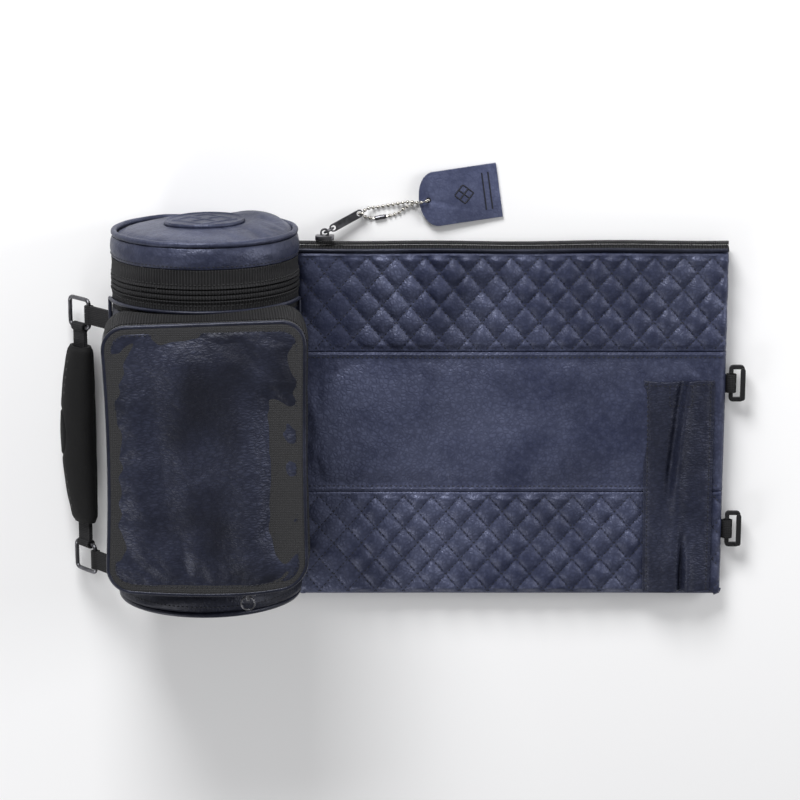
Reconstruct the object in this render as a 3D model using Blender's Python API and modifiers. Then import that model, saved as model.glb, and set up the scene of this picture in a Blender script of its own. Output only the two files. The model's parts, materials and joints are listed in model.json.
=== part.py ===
"""Cash deposit bag: a barrel-shaped zip case with a front pocket and a carry handle,
and a flat zip pouch linked to its right side, all lying on their backs.

Metres, +Z up. +Y runs up the case towards its lid and +X from the case to the pouch.
The origin is the centre of the case's flat back, on the surface that the bag lies on.
"""

import math

import bmesh
import bpy
from mathutils import Matrix, Vector

# Clearances
GAP = 0.0003  # between pieces that touch
LOOSE = 0.0005  # between a slider and its zip

# Case
CASE_RADIUS = 0.0585
CASE_FLAT = 0.060  # width of the flat back
CASE_LENGTH = 0.2335  # base to the lid's rim
CASE_WALL = 0.0025
LINING_WALL = 0.0025
BASE_PANEL = 0.0030
BOARD = 0.0025
PIPING = 0.0017  # radius of the piping on the case

# Lid and its zip
LID_DEPTH = 0.029  # zip line to rim
DOME_HEIGHT = 0.0080
TAPE_WIDTH = 0.012
COIL_WIDTH = 0.0030  # each half of a coil
COIL_PROUD = 0.0006
HINGE_STRIP_WIDTH = 0.048
HINGE_STRIP_WALL = 0.0014
EMBLEM_RADIUS = 0.0255
EMBLEM_WALL = 0.0012
LID_SLIDER_ANGLE = 207  # degrees round the barrel, from +X towards +Z

# Front pocket
POCKET_WIDTH = 0.125
POCKET_LENGTH = 0.168
POCKET_CORNER = 0.016
POCKET_RISE = 0.004  # the pocket's top edge above the top of the shell
POCKET_LEAN = 0.004  # the gusset leans this far towards the pouch
POCKET_FLOOR = 0.014  # height over the barrel's axis where the gusset meets its sides
POCKET_DEPTH = 0.018  # gusset's height over the barrel's front
GUSSET_WALL = 0.0025
PANEL_WALL = 0.0050
PANEL_PIPING = 0.0012
POCKET_SLIDER_X = 0.0285
POCKET_RING = 0.0042  # radius of the round pull

# Carry handle
TAB_DROP = 0.0035  # depth under the barrel's axis where the ring tabs are sewn on
HANDLE_ANGLE = 49.0  # the handle hangs this far below level
LOWER_RING_INSET = 0.0135  # from the case's base
UPPER_RING_INSET = 0.0126  # from the shell's top
GRIP_INSETS = (0.0245, 0.022)  # from the lower and the upper ring
GRIP_WIDTH = 0.028  # across, in line with the tabs
GRIP_THICKNESS = 0.020
GRIP_WALL = 0.0026
GRIP_BOW = 0.005
RING_REACH = 0.0375  # tab root to ring centre
RING_WIDTH = 0.021  # wire centre to wire centre, in line with the tab
RING_HEIGHT = 0.0185
RING_CORNER = 0.003
RING_WIRE = 0.0015
STRAP_WALL = 0.0012
STRAP_WIDTH = 0.012

# Links that join the pouch to the case
LINK_Z = 0.008
LOWER_LINK_INSET = 0.0385  # from the case's base
UPPER_LINK_INSET = 0.0338  # from the shell's top
LINK_CASE_REACH = 0.0054  # case to bar
LINK_WIDTH = 0.0064  # bar to bar
LINK_POUCH_REACH = 0.0034  # bar to pouch
LINK_HEIGHT = 0.0165
LINK_WIRE = 0.0012

# Flat pouch
POUCH_WIDTH = 0.277
POUCH_DROP = 0.01425  # bottom seam below the case's base
POUCH_LENGTH = 0.2285  # bottom seam to the top of the front panels
POUCH_DEPTH = 0.0153  # back face to front face
POUCH_BACK_Z = 0.0002
POUCH_WALL = 0.0028
POUCH_LINING = 0.0008
FRONT_WALL = 0.0040
UPPER_QUILT = 0.065  # width of the upper quilted band
LOWER_QUILT = 0.0705
WELT_WIDTH = 0.0024
ZIP_RISE = 0.0054  # coil over the top of the front panels
ZIP_COIL_RADIUS = 0.0014
SLEEVE_INSET = 0.0075
SLEEVE_WIDTH = 0.0455
SLEEVE_LENGTH = 0.1410
SLEEVE_RISE = 0.004  # its lower end over the pouch's bottom seam
SLEEVE_ROOM = 0.0050  # free height under the sleeve
SLEEVE_WALL = 0.0013

# Pouch slider, pull, chain and tag
POUCH_SLIDER_INSET = 0.0180
PULL_ANGLE = 28.0
LINK_LOOP = 0.0032  # radius of the small ring between bail and pull
LINK_LOOP_WIRE = 0.0007
PULL_LENGTH = 0.0215
PULL_WIDTH = 0.0052
PULL_WALL = 0.0014
PULL_END_Z = 0.0045
CHAIN_WIRE = 0.0008
TAG_ANGLE = 8.0
TAG_LENGTH = 0.052
TAG_WIDTH = 0.035
TAG_WALL = 0.0018
TAG_REACH = Vector((0.0443, 0.0085, 0.0))  # the pull's eye to the tag's
TAG_HOLE_INSET = 0.0060
TAG_LIFT = 0.0026  # the chain under the hole end lifts the tag by this much

# Clips on the pouch's free side
CLIP_RISES = {"upper": 0.1415, "lower": 0.0435}  # over the pouch's bottom seam
CLIP_WIDTH = 0.0100
CLIP_HEIGHT = 0.0240
CLIP_WALL = 0.0030
CLIP_BAR = 0.0026
CLIP_CORNER = 0.0030
GATE_WALL = 0.0018
GATE_PIN = 0.0008

MATERIALS = {
    "navy_leather": ((0.035, 0.040, 0.085), 0.45, 0.0),
    "black_webbing": ((0.012, 0.012, 0.013), 0.80, 0.0),
    "black_coil": ((0.015, 0.015, 0.016), 0.45, 0.0),
    "gunmetal": ((0.12, 0.12, 0.13), 0.30, 1.0),
    "nickel": ((0.60, 0.58, 0.54), 0.25, 1.0),
    "black_rubber": ((0.016, 0.016, 0.017), 0.60, 0.0),
    "clip_plastic": ((0.014, 0.014, 0.015), 0.25, 0.0),
    "lining": ((0.05, 0.05, 0.06), 0.85, 0.0),
    "board": ((0.20, 0.18, 0.15), 0.90, 0.0),
}

X_AXIS = Vector((1, 0, 0))
Y_AXIS = Vector((0, 1, 0))
Z_AXIS = Vector((0, 0, 1))

CASE_AXIS_Z = math.sqrt(CASE_RADIUS**2 - (CASE_FLAT / 2) ** 2)
BASE_Y = -CASE_LENGTH / 2
RIM_Y = CASE_LENGTH / 2
ZIP_Y = RIM_Y - LID_DEPTH
CASE_COIL_Y = ZIP_Y - GAP / 2 - COIL_WIDTH  # lower edge of the coil's half on the case
CASE_TAPE_Y = CASE_COIL_Y - GAP - TAPE_WIDTH
SHELL_TOP_Y = CASE_TAPE_Y - GAP
LID_COIL_TOP_Y = ZIP_Y + GAP / 2 + COIL_WIDTH
LID_TAPE_TOP_Y = LID_COIL_TOP_Y + GAP + TAPE_WIDTH
POCKET_TOP_Y = SHELL_TOP_Y + POCKET_RISE
POCKET_Y = POCKET_TOP_Y - POCKET_LENGTH / 2
POCKET_FLOOR_Z = CASE_AXIS_Z + POCKET_FLOOR
GUSSET_TOP_Z = CASE_AXIS_Z + CASE_RADIUS + POCKET_DEPTH
PANEL_Z = GUSSET_TOP_Z + 2 * PANEL_PIPING + 4 * GAP  # underside of the pocket's panel
LINK_CASE_BAR_X = math.sqrt(CASE_RADIUS**2 - (CASE_AXIS_Z - LINK_Z) ** 2) + LINK_CASE_REACH
LINK_POUCH_BAR_X = LINK_CASE_BAR_X + LINK_WIDTH
LINK_YS = {"upper": SHELL_TOP_Y - UPPER_LINK_INSET, "lower": BASE_Y + LOWER_LINK_INSET}
POUCH_LEFT_X = LINK_POUCH_BAR_X + LINK_POUCH_REACH
POUCH_RIGHT_X = POUCH_LEFT_X + POUCH_WIDTH
POUCH_BOTTOM_Y = BASE_Y - POUCH_DROP
POUCH_TOP_Y = POUCH_BOTTOM_Y + POUCH_LENGTH
POUCH_FRONT_Z = POUCH_BACK_Z + POUCH_DEPTH
POUCH_MID_Z = LINK_Z
ZIP_COIL_Y = POUCH_TOP_Y + ZIP_RISE
SLEEVE_LEFT_X = POUCH_RIGHT_X - SLEEVE_INSET - SLEEVE_WIDTH
SLEEVE_TOP_Y = POUCH_BOTTOM_Y + SLEEVE_RISE + SLEEVE_LENGTH
POUCH_SLIDER_X = POUCH_LEFT_X + POUCH_SLIDER_INSET
CLIP_YS = {name: POUCH_BOTTOM_Y + rise for name, rise in CLIP_RISES.items()}
RING_YS = {"upper": SHELL_TOP_Y - UPPER_RING_INSET, "lower": BASE_Y + LOWER_RING_INSET}
GRIP_ENDS = (RING_YS["lower"] + GRIP_INSETS[0], RING_YS["upper"] - GRIP_INSETS[1])
TAB_ROOT = Vector((-CASE_RADIUS - GAP, 0, CASE_AXIS_Z - TAB_DROP))
HANG = math.radians(HANDLE_ANGLE)
TAB_DIRECTION = Vector((-math.cos(HANG), 0, -math.sin(HANG)))
GRIP_CENTRE = TAB_ROOT + TAB_DIRECTION * (RING_REACH + GRIP_BOW)
RING_NORMAL = TAB_DIRECTION.cross(Y_AXIS).normalized()


# Tools


def clear_scene():
    for obj in list(bpy.data.objects):
        bpy.data.objects.remove(obj)


def make_collections():
    found = []
    for name in ("cash_deposit_bag", "cutters"):
        collection = bpy.data.collections.new(name)
        bpy.context.scene.collection.children.link(collection)
        found.append(collection)
    return found


def make_material(name, kind):
    colour, roughness, metallic = MATERIALS[kind]
    material = bpy.data.materials.new(f"{name}_{kind}")
    material.use_nodes = True
    shader = material.node_tree.nodes["Principled BSDF"]
    shader.inputs["Base Color"].default_value = (*colour, 1)
    shader.inputs["Roughness"].default_value = roughness
    shader.inputs["Metallic"].default_value = metallic
    material.diffuse_color = (*colour, 1)
    return material


def finish(obj, material, collection=None):
    (collection or PARTS).objects.link(obj)
    obj.data.materials.append(make_material(obj.name, material))
    return obj


def joint(name, place, *children):
    """An empty on a joint's axis, which carries the pieces that turn or slide there."""
    empty = bpy.data.objects.new(name, None)
    empty.empty_display_size = 0.01
    PARTS.objects.link(empty)
    empty.location = place
    for child in children:
        child.parent = empty
        child.matrix_parent_inverse = Matrix.Translation(-Vector(place))
    return empty


def carry(parent, *children):
    """Hangs one joint's empty on another's."""
    bpy.context.view_layer.update()
    for child in children:
        child.parent = parent
        child.matrix_parent_inverse = parent.matrix_world.inverted()


def named(*names):
    return [bpy.data.objects[name] for name in names]


def plane(u, v, centre):
    """A frame whose local X and Y run along u and v, with its origin at centre."""
    u, v = Vector(u).normalized(), Vector(v).normalized()
    frame = Matrix((u, v, u.cross(v))).transposed().to_4x4()
    frame.translation = Vector(centre)
    return frame


def flat(name, loops, frame, thickness, material):
    """A plate of even thickness, centred on the frame's plane. Loops after the first are holes."""
    curve = bpy.data.curves.new(name, "CURVE")
    curve.dimensions = "2D"
    curve.fill_mode = "BOTH"
    curve.extrude = thickness / 2
    for loop in loops:
        spline = curve.splines.new("POLY")
        spline.points.add(len(loop) - 1)
        for point, (u, v) in zip(spline.points, loop):
            point.co = (u, v, 0, 1)
        spline.use_cyclic_u = True
    obj = finish(bpy.data.objects.new(name, curve), material)
    obj.matrix_world = frame
    return obj


def as_mesh(obj):
    """The curve object made a mesh with its caps welded, so that it can be cut or joined."""
    bpy.context.view_layer.update()
    evaluated = obj.evaluated_get(bpy.context.evaluated_depsgraph_get())
    mesh = bpy.data.meshes.new_from_object(evaluated)
    shape = bmesh.new()
    shape.from_mesh(mesh)
    bmesh.ops.remove_doubles(shape, verts=shape.verts, dist=0.000005)
    bmesh.ops.recalc_face_normals(shape, faces=shape.faces)
    shape.to_mesh(mesh)
    shape.free()
    name, matrix = obj.name, obj.matrix_world.copy()
    homes = list(obj.users_collection)
    bpy.data.objects.remove(obj)
    made = bpy.data.objects.new(name, mesh)
    homes[0].objects.link(made)
    made.matrix_world = matrix
    return made


def mesh_object(name, shape, material, collection=None):
    mesh = bpy.data.meshes.new(name)
    bmesh.ops.recalc_face_normals(shape, faces=shape.faces)
    shape.to_mesh(mesh)
    shape.free()
    return finish(bpy.data.objects.new(name, mesh), material, collection)


def boolean(obj, other, operation):
    """Cuts obj by other, or joins them, and puts other away with the cutters."""
    modifier = obj.modifiers.new(operation.lower(), "BOOLEAN")
    modifier.operation = operation
    modifier.object = other
    other.hide_render = True
    other.display_type = "WIRE"
    for collection in list(other.users_collection):
        collection.objects.unlink(other)
    CUTTERS.objects.link(other)
    return obj


def tube(name, points, radius, material, cyclic=False):
    curve = bpy.data.curves.new(name, "CURVE")
    curve.dimensions = "3D"
    curve.bevel_depth = radius
    curve.bevel_resolution = 2
    curve.use_fill_caps = True
    spline = curve.splines.new("POLY")
    spline.points.add(len(points) - 1)
    for point, place in zip(spline.points, points):
        point.co = (*place, 1)
    spline.use_cyclic_u = cyclic
    return finish(bpy.data.objects.new(name, curve), material)


def arc(centre, radius, start, end, steps):
    """Points on an arc from start to end, in degrees."""
    turns = [math.radians(start + (end - start) * i / steps) for i in range(steps + 1)]
    return [
        (centre[0] + radius * math.cos(a), centre[1] + radius * math.sin(a)) for a in turns
    ]


def circle(centre, radius, steps=16):
    return arc(centre, radius, 0, 360, steps)[:-1]


def rounded(width, height, corner, centre=(0, 0), steps=4):
    """A rectangle with round corners, anticlockwise from the lower right corner."""
    x, y = width / 2 - corner, height / 2 - corner
    corners = ((x, -y, -90), (x, y, 0), (-x, y, 90), (-x, -y, 180))
    return [
        point
        for u, v, start in corners
        for point in arc((centre[0] + u, centre[1] + v), corner, start, start + 90, steps)
    ]


def case_outline(inset, steps=44):
    """The barrel's section, in X and Z: a circle cut by the flat back, inset from the surface."""
    radius = CASE_RADIUS - inset
    floor = max(inset, 0)
    start = -math.degrees(math.asin((CASE_AXIS_Z - floor) / radius))
    return arc((0, CASE_AXIS_Z), radius, start, 180 - start, steps)


def case_ring(name, outer, inner, low, high, material):
    """A band round the barrel from y low to y high, between two insets from its surface."""
    loops = [case_outline(outer), case_outline(inner)]
    frame = plane(X_AXIS, Z_AXIS, (0, (low + high) / 2, 0))
    return flat(name, loops, frame, high - low, material)


def case_disc(name, inset, low, high, material):
    frame = plane(X_AXIS, Z_AXIS, (0, (low + high) / 2, 0))
    return flat(name, [case_outline(inset)], frame, high - low, material)


def teardrop(bar_radius, reach):
    """A strap folded round a bar at the origin, with its sewn tail out to reach along +X."""
    hole = bar_radius + GAP
    outer = hole + STRAP_WALL
    half = STRAP_WALL + GAP / 2
    lean = math.degrees(math.asin(half / outer))
    loop = arc((0, 0), outer, lean, 360 - lean, 14) + [(reach, -half), (reach, half)]
    return loop, circle((0, 0), hole, 14)


def strap_loop(name, bar, axis, root, width, bar_radius):
    """A webbing loop round a bar, sewn down at root."""
    tail = Vector(root) - Vector(bar)
    across = Vector(axis).normalized().cross(tail.normalized())
    loops = teardrop(bar_radius, tail.length)
    return flat(name, loops, plane(tail, across, bar), width, "black_webbing")


def wire_ring(name, centre, u, v, width, height, corner, wire, material):
    """A ring of wire with straight sides, its width along u and its height along v."""
    frame = plane(u, v, centre)
    points = [frame @ Vector((a, b, 0)) for a, b in rounded(width, height, corner)]
    return tube(name, points, wire, material, cyclic=True)


def slider(name, centre, travel, outward, size, bail_hole, bail_along=None):
    """A zip slider: a body with a bail on it. Centre is the middle of the body's underside."""
    length, wall, width = size
    travel, outward = Vector(travel).normalized(), Vector(outward).normalized()
    across = travel.cross(outward)
    body_frame = plane(travel, across, Vector(centre) + outward * wall / 2)
    body = as_mesh(flat(name, [rounded(length, width, width / 4)], body_frame, wall, "gunmetal"))
    bail_wall = 0.0011
    foot = wall * 0.6
    lift = wall + bail_hole
    outer = arc((0, lift), bail_hole + bail_wall, 0, 180, 8)
    side = bail_hole + bail_wall
    loops = [outer + [(-side, foot), (side, foot)], circle((0, lift), bail_hole, 12)]
    bail_frame = plane(bail_along or travel, outward, centre)
    bail = as_mesh(flat(name + "_bail", loops, bail_frame, 0.0020, "gunmetal"))
    return boolean(body, bail, "UNION")


def pull_outline(length, width, eye):
    """A zip pull along +X, its end bar at the origin and a round eye in its far end."""
    bar = 0.0008
    half = width / 2
    window = rounded(0.0042, width - 0.0020, 0.0006, (bar + 0.0021, 0), 2)
    outer = [(-bar, -half), (length - half, -half)]
    outer += arc((length - half, 0), half, -80, 80, 8)
    outer += [(length - half, half), (-bar, half)]
    return [outer, window, circle((length - half, 0), eye, 12)]


# Case


def make_case():
    wall, proud = CASE_WALL, -COIL_PROUD
    shell_low = BASE_Y + BASE_PANEL + GAP
    case_ring("case_shell", 0, wall, shell_low, SHELL_TOP_Y, "navy_leather")
    inner = wall + GAP
    lining_top = SHELL_TOP_Y - 0.004
    case_ring("case_lining", inner, inner + LINING_WALL, shell_low, lining_top, "lining")
    board_inset = inner + LINING_WALL + GAP
    case_disc("case_base_board", board_inset, shell_low, shell_low + BOARD, "board")
    seam = 2 * PIPING + GAP
    case_disc("case_base_panel", seam, BASE_Y, BASE_Y + BASE_PANEL, "navy_leather")
    piping_y = BASE_Y + BASE_PANEL - PIPING
    path = [(x, piping_y, z) for x, z in case_outline(PIPING + GAP / 2)]
    tube("case_base_piping", path, PIPING, "navy_leather", cyclic=True)
    tape_top = CASE_TAPE_Y + TAPE_WIDTH
    case_ring("case_zip_tape", 0, wall, CASE_TAPE_Y, tape_top, "black_webbing")
    coil_top = CASE_COIL_Y + COIL_WIDTH
    case_ring("case_zip_coil", proud, wall / 2, CASE_COIL_Y, coil_top, "black_coil")
    hinge_strip("case_hinge_strip", lining_top + GAP, ZIP_Y - GAP / 2)


def hinge_strip(name, low, high):
    """Half of the cloth strip inside the back that the lid folds on."""
    middle = CASE_WALL + GAP + HINGE_STRIP_WALL / 2
    outline = rounded(HINGE_STRIP_WIDTH, high - low, 0.001, (0, (low + high) / 2), 1)
    frame = plane(X_AXIS, Y_AXIS, (0, 0, middle))
    flat(name, [outline], frame, HINGE_STRIP_WALL, "black_webbing")


def make_lid():
    wall, proud = CASE_WALL, -COIL_PROUD
    case_ring("lid_zip_coil", proud, wall / 2, ZIP_Y + GAP / 2, LID_COIL_TOP_Y, "black_coil")
    tape_low = LID_COIL_TOP_Y + GAP
    case_ring("lid_zip_tape", 0, wall, tape_low, LID_TAPE_TOP_Y, "black_webbing")
    band_low = LID_TAPE_TOP_Y + GAP
    case_ring("lid_band", 0, wall, band_low, RIM_Y - GAP, "navy_leather")
    pad_inset = wall + GAP
    pad_high = RIM_Y - GAP
    case_disc("lid_pad", pad_inset, pad_high - 0.003, pad_high, "lining")
    hinge_strip("lid_hinge_strip", ZIP_Y + GAP / 2, LID_TAPE_TOP_Y)
    piping_y = RIM_Y + PIPING
    path = [(x, piping_y, z) for x, z in case_outline(PIPING + GAP / 2)]
    tube("lid_piping", path, PIPING, "navy_leather", cyclic=True)
    lid_top()
    top = RIM_Y + DOME_HEIGHT + GAP
    frame = plane(X_AXIS, Z_AXIS, (0, top + EMBLEM_WALL / 2, CASE_AXIS_Z))
    flat("lid_emblem", [circle((0, 0), EMBLEM_RADIUS, 28)], frame, EMBLEM_WALL, "navy_leather")
    wall_pieces = named("lid_zip_coil", "lid_zip_tape", "lid_band", "lid_hinge_strip")
    top_pieces = named("lid_pad", "lid_piping", "lid_top", "lid_emblem")
    joint("lid_hinge", (0, ZIP_Y, 0), *wall_pieces, *top_pieces)


def lid_top():
    """The padded top: the seam's outline drawn in and raised in steps to a flat crown."""
    shape = bmesh.new()
    outline = case_outline(2 * PIPING + GAP)
    centre = Vector((0, 0, CASE_AXIS_Z))
    crown = (EMBLEM_RADIUS + 0.002) / CASE_RADIUS
    levels = ((1.0, 0.0), (1.0, 0.25), (0.90, 0.62), (0.75, 0.87), (crown, 1.0))
    rings = []
    for scale, height in levels:
        spots = [centre + (Vector((x, 0, z)) - centre) * scale for x, z in outline]
        y = RIM_Y + DOME_HEIGHT * height
        rings.append([shape.verts.new((spot.x, y, spot.z)) for spot in spots])
    shape.faces.new(rings[0])
    shape.faces.new(rings[-1])
    for near, far in zip(rings, rings[1:]):
        for i in range(len(near)):
            shape.faces.new((near[i - 1], near[i], far[i], far[i - 1]))
    mesh_object("lid_top", shape, "navy_leather")


def make_lid_slider():
    turn = math.radians(LID_SLIDER_ANGLE)
    outward = Vector((math.cos(turn), 0, math.sin(turn)))
    travel = Vector((math.sin(turn), 0, -math.cos(turn)))
    axis = Vector((0, ZIP_Y, CASE_AXIS_Z))
    seat = axis + outward * (CASE_RADIUS + COIL_PROUD + LOOSE)
    slider("lid_slider", seat, travel, outward, (0.011, 0.0026, 0.0090), 0.0015)
    pivot = seat + outward * (0.0026 + 0.0015)
    loops = pull_outline(0.0200, 0.0056, 0.0012)
    flat("lid_pull", loops, plane(-travel, Y_AXIS, pivot), 0.0012, "gunmetal")
    run = joint("lid_slider_run", axis, *named("lid_slider"))
    swing = joint("lid_pull_swing", pivot, *named("lid_pull"))
    carry(run, swing)


# Pocket


def pocket_block(name, inset, low_z, high_z, collection):
    """A block with round upright corners that narrows from the panel to the barrel's sides."""
    shape = bmesh.new()
    bmesh.ops.create_cube(shape, size=1)
    size = Vector((POCKET_WIDTH, POCKET_LENGTH, 0)) - Vector((2 * inset, 2 * inset, 0))
    size.z = high_z - low_z
    bmesh.ops.scale(shape, vec=size, verts=shape.verts)
    bmesh.ops.translate(shape, vec=(0, POCKET_Y, (low_z + high_z) / 2), verts=shape.verts)
    upright = [e for e in shape.edges if abs(e.verts[0].co.z - e.verts[1].co.z) > 0.001]
    corner = POCKET_CORNER - inset
    bmesh.ops.bevel(
        shape, geom=upright, offset=corner, segments=4, profile=0.5, affect="EDGES"
    )
    narrow = 2 * CASE_RADIUS / POCKET_WIDTH
    slope = (1 - narrow) / (GUSSET_TOP_Z - POCKET_FLOOR_Z)
    lean = POCKET_LEAN / (GUSSET_TOP_Z - POCKET_FLOOR_Z)
    for vert in shape.verts:
        vert.co.x *= 1 - slope * (GUSSET_TOP_Z - vert.co.z)
        vert.co.x += lean * (vert.co.z - POCKET_FLOOR_Z)
    return mesh_object(name, shape, "black_webbing", collection)


def barrel_cutter():
    """The barrel grown by a gap, to trim the gusset to it."""
    shape = bmesh.new()
    bmesh.ops.create_cone(
        shape,
        cap_ends=True,
        segments=72,
        radius1=CASE_RADIUS + GAP,
        radius2=CASE_RADIUS + GAP,
        depth=2 * CASE_LENGTH,
    )
    turn = Matrix.Rotation(math.pi / 2, 3, "X")
    bmesh.ops.rotate(shape, matrix=turn, verts=shape.verts)
    bmesh.ops.translate(shape, vec=(0, 0, CASE_AXIS_Z), verts=shape.verts)
    return mesh_object("barrel_cutter", shape, "black_webbing", CUTTERS)


def make_pocket():
    gusset = pocket_block("pocket_gusset", 0, POCKET_FLOOR_Z, GUSSET_TOP_Z, PARTS)
    low, high = POCKET_FLOOR_Z - 0.01, GUSSET_TOP_Z + 0.01
    room = pocket_block("pocket_room", GUSSET_WALL, low, high, CUTTERS)
    boolean(gusset, room, "DIFFERENCE")
    boolean(gusset, barrel_cutter(), "DIFFERENCE")
    pocket_rear_piping()
    pocket_coil()
    piping_z = PANEL_Z + PANEL_WALL / 2
    frame = plane(X_AXIS, Y_AXIS, (POCKET_LEAN, POCKET_Y, piping_z))
    edge = 2 * PANEL_PIPING + GAP
    corner = POCKET_CORNER - edge
    size = (POCKET_WIDTH - 2 * edge, POCKET_LENGTH - 2 * edge)
    flat("pocket_panel", [rounded(*size, corner)], frame, PANEL_WALL, "navy_leather")
    inset = PANEL_PIPING
    path = pocket_path(inset, piping_z)
    tube("pocket_panel_piping", path, PANEL_PIPING, "navy_leather", cyclic=True)
    edge = (POCKET_LEAN - POCKET_WIDTH / 2, POCKET_Y, (GUSSET_TOP_Z + PANEL_Z) / 2)
    joint("pocket_flap_hinge", edge, *named("pocket_panel", "pocket_panel_piping"))


def pocket_path(inset, z):
    size = (POCKET_WIDTH - 2 * inset, POCKET_LENGTH - 2 * inset)
    points = rounded(*size, POCKET_CORNER - inset, (POCKET_LEAN, POCKET_Y))
    return [(x, y, z) for x, y in points]


def pocket_coil():
    """The pocket's zip, round three sides of the gusset and open along the left one."""
    inset = PANEL_PIPING + GAP
    points = pocket_path(inset, GUSSET_TOP_Z + GAP + PANEL_PIPING)
    middle = len(points) // 2
    # The loop runs lower right, upper right, upper left, lower left: start at lower left.
    upper_left_end = middle + middle // 2 - 2
    path = points[upper_left_end + 3 :] + points[:upper_left_end]
    tube("pocket_zip_coil", path, PANEL_PIPING, "black_coil")


def pocket_rear_piping():
    """Piping where the gusset is sewn to the barrel: over it above and below, along its sides."""
    wire = PANEL_PIPING
    radius = CASE_RADIUS + GAP + wire
    reach = POCKET_LENGTH / 2 + GAP + wire
    over = arc((0, CASE_AXIS_Z), radius, 10, 170, 24)
    path = [(x, POCKET_Y + reach, z) for x, z in over]
    path += [(x, POCKET_Y - reach, z) for x, z in reversed(over)]
    tube("pocket_rear_piping", path, wire, "navy_leather", cyclic=True)


def make_pocket_slider():
    edge_y = POCKET_Y - POCKET_LENGTH / 2
    seat = Vector((POCKET_SLIDER_X, edge_y - LOOSE, GUSSET_TOP_Z + 0.0015))
    size = (0.0100, 0.0026, 0.0075)
    slider("pocket_slider", seat, X_AXIS, -Y_AXIS, size, 0.0015, bail_along=Z_AXIS)
    pivot = seat - Y_AXIS * (0.0026 + 0.0015)
    centre = pivot - Y_AXIS * POCKET_RING
    points = [(*spot, pivot.z) for spot in circle(centre.xy, POCKET_RING, 24)]
    tube("pocket_pull", points, 0.0006, "gunmetal", cyclic=True)
    run = joint("pocket_slider_run", seat, *named("pocket_slider"))
    swing = joint("pocket_pull_swing", pivot, *named("pocket_pull"))
    carry(run, swing)


# Handle


def along_tab(reach, y):
    """The point that far from the case's side towards the handle, at height y."""
    return Vector((TAB_ROOT.x, y, TAB_ROOT.z)) + TAB_DIRECTION * reach


def make_handle():
    bar_reach = RING_REACH - RING_WIDTH / 2
    for name, y in RING_YS.items():
        tab_name = f"{name}_ring_tab"
        bar = along_tab(bar_reach, y)
        strap_loop(tab_name, bar, Y_AXIS, along_tab(STRAP_WALL, y), STRAP_WIDTH, RING_WIRE)
        centre = along_tab(RING_REACH, y)
        size = (RING_WIDTH, RING_HEIGHT, RING_CORNER, RING_WIRE)
        wire_ring(f"{name}_ring", centre, TAB_DIRECTION, Y_AXIS, *size, "gunmetal")
    handle_strap()
    handle_grip()
    bar = along_tab(bar_reach, sum(RING_YS.values()) / 2)
    pieces = named("upper_ring", "lower_ring", "handle_strap", "handle_grip")
    joint("handle_swing", bar, *pieces)


def handle_strap():
    """One length of webbing: through the grip, and folded round a bar of each ring."""
    bars = (RING_YS["upper"] - RING_HEIGHT / 2, RING_YS["lower"] + RING_HEIGHT / 2)
    middle = sum(bars) / 2
    half_run = (bars[0] - bars[1]) / 2
    loop, hole = teardrop(RING_WIRE, half_run)
    ends = loop[:-2]
    outer = [(half_run - u, v) for u, v in reversed(ends)]
    outer += [(u - half_run, v) for u, v in ends]
    holes = [[(sign * half_run + u, v) for u, v in hole] for sign in (1, -1)]
    frame = plane(Y_AXIS, RING_NORMAL, along_tab(RING_REACH, middle))
    flat("handle_strap", [outer, *holes], frame, STRAP_WIDTH, "black_webbing")


def handle_grip():
    """A rolled oval sleeve, bowed away from the case, open at both ends."""
    low, high = GRIP_ENDS
    rings = 9
    shape = bmesh.new()
    for i in range(rings):
        y = low + (high - low) * i / (rings - 1)
        share = 2 * i / (rings - 1) - 1
        centre = Vector((GRIP_CENTRE.x, y, GRIP_CENTRE.z)) - TAB_DIRECTION * GRIP_BOW * share**2
        for u, v in circle((0, 0), 0.5, 24):
            spot = centre + TAB_DIRECTION * u * GRIP_WIDTH + RING_NORMAL * v * GRIP_THICKNESS
            shape.verts.new(spot)
    shape.verts.ensure_lookup_table()
    loops = [shape.verts[24 * i : 24 * i + 24] for i in range(rings)]
    for near, far in zip(loops, loops[1:]):
        for i in range(24):
            j = (i + 1) % 24
            shape.faces.new((near[i], near[j], far[j], far[i]))
    grip = mesh_object("handle_grip", shape, "black_rubber")
    wall = grip.modifiers.new("wall", "SOLIDIFY")
    wall.thickness = GRIP_WALL
    wall.offset = -1
    return grip


# Links between case and pouch


def make_links():
    for name, y in LINK_YS.items():
        case_bar = Vector((LINK_CASE_BAR_X, y, LINK_Z))
        pouch_bar = Vector((LINK_POUCH_BAR_X, y, LINK_Z))
        drop = CASE_AXIS_Z - LINK_Z - STRAP_WALL - GAP / 2
        side = math.sqrt(CASE_RADIUS**2 - drop**2)
        case_root = Vector((side + GAP, y, LINK_Z))
        pouch_root = Vector((POUCH_LEFT_X - GAP, y, LINK_Z))
        strap_loop(f"link_tab_{name}", case_bar, Y_AXIS, case_root, STRAP_WIDTH, LINK_WIRE)
        strap_loop(f"pouch_loop_{name}", pouch_bar, Y_AXIS, pouch_root, STRAP_WIDTH, LINK_WIRE)
        centre = (case_bar + pouch_bar) / 2
        size = (LINK_WIDTH, LINK_HEIGHT, 0.0018, LINK_WIRE)
        wire_ring(f"link_ring_{name}", centre, X_AXIS, Y_AXIS, *size, "gunmetal")


# Pouch


def box(name, low, high, material, collection=None):
    shape = bmesh.new()
    bmesh.ops.create_cube(shape, size=1)
    bmesh.ops.scale(shape, vec=Vector(high) - Vector(low), verts=shape.verts)
    obj = mesh_object(name, shape, material, collection)
    obj.location = (Vector(high) + Vector(low)) / 2
    return obj


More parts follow.
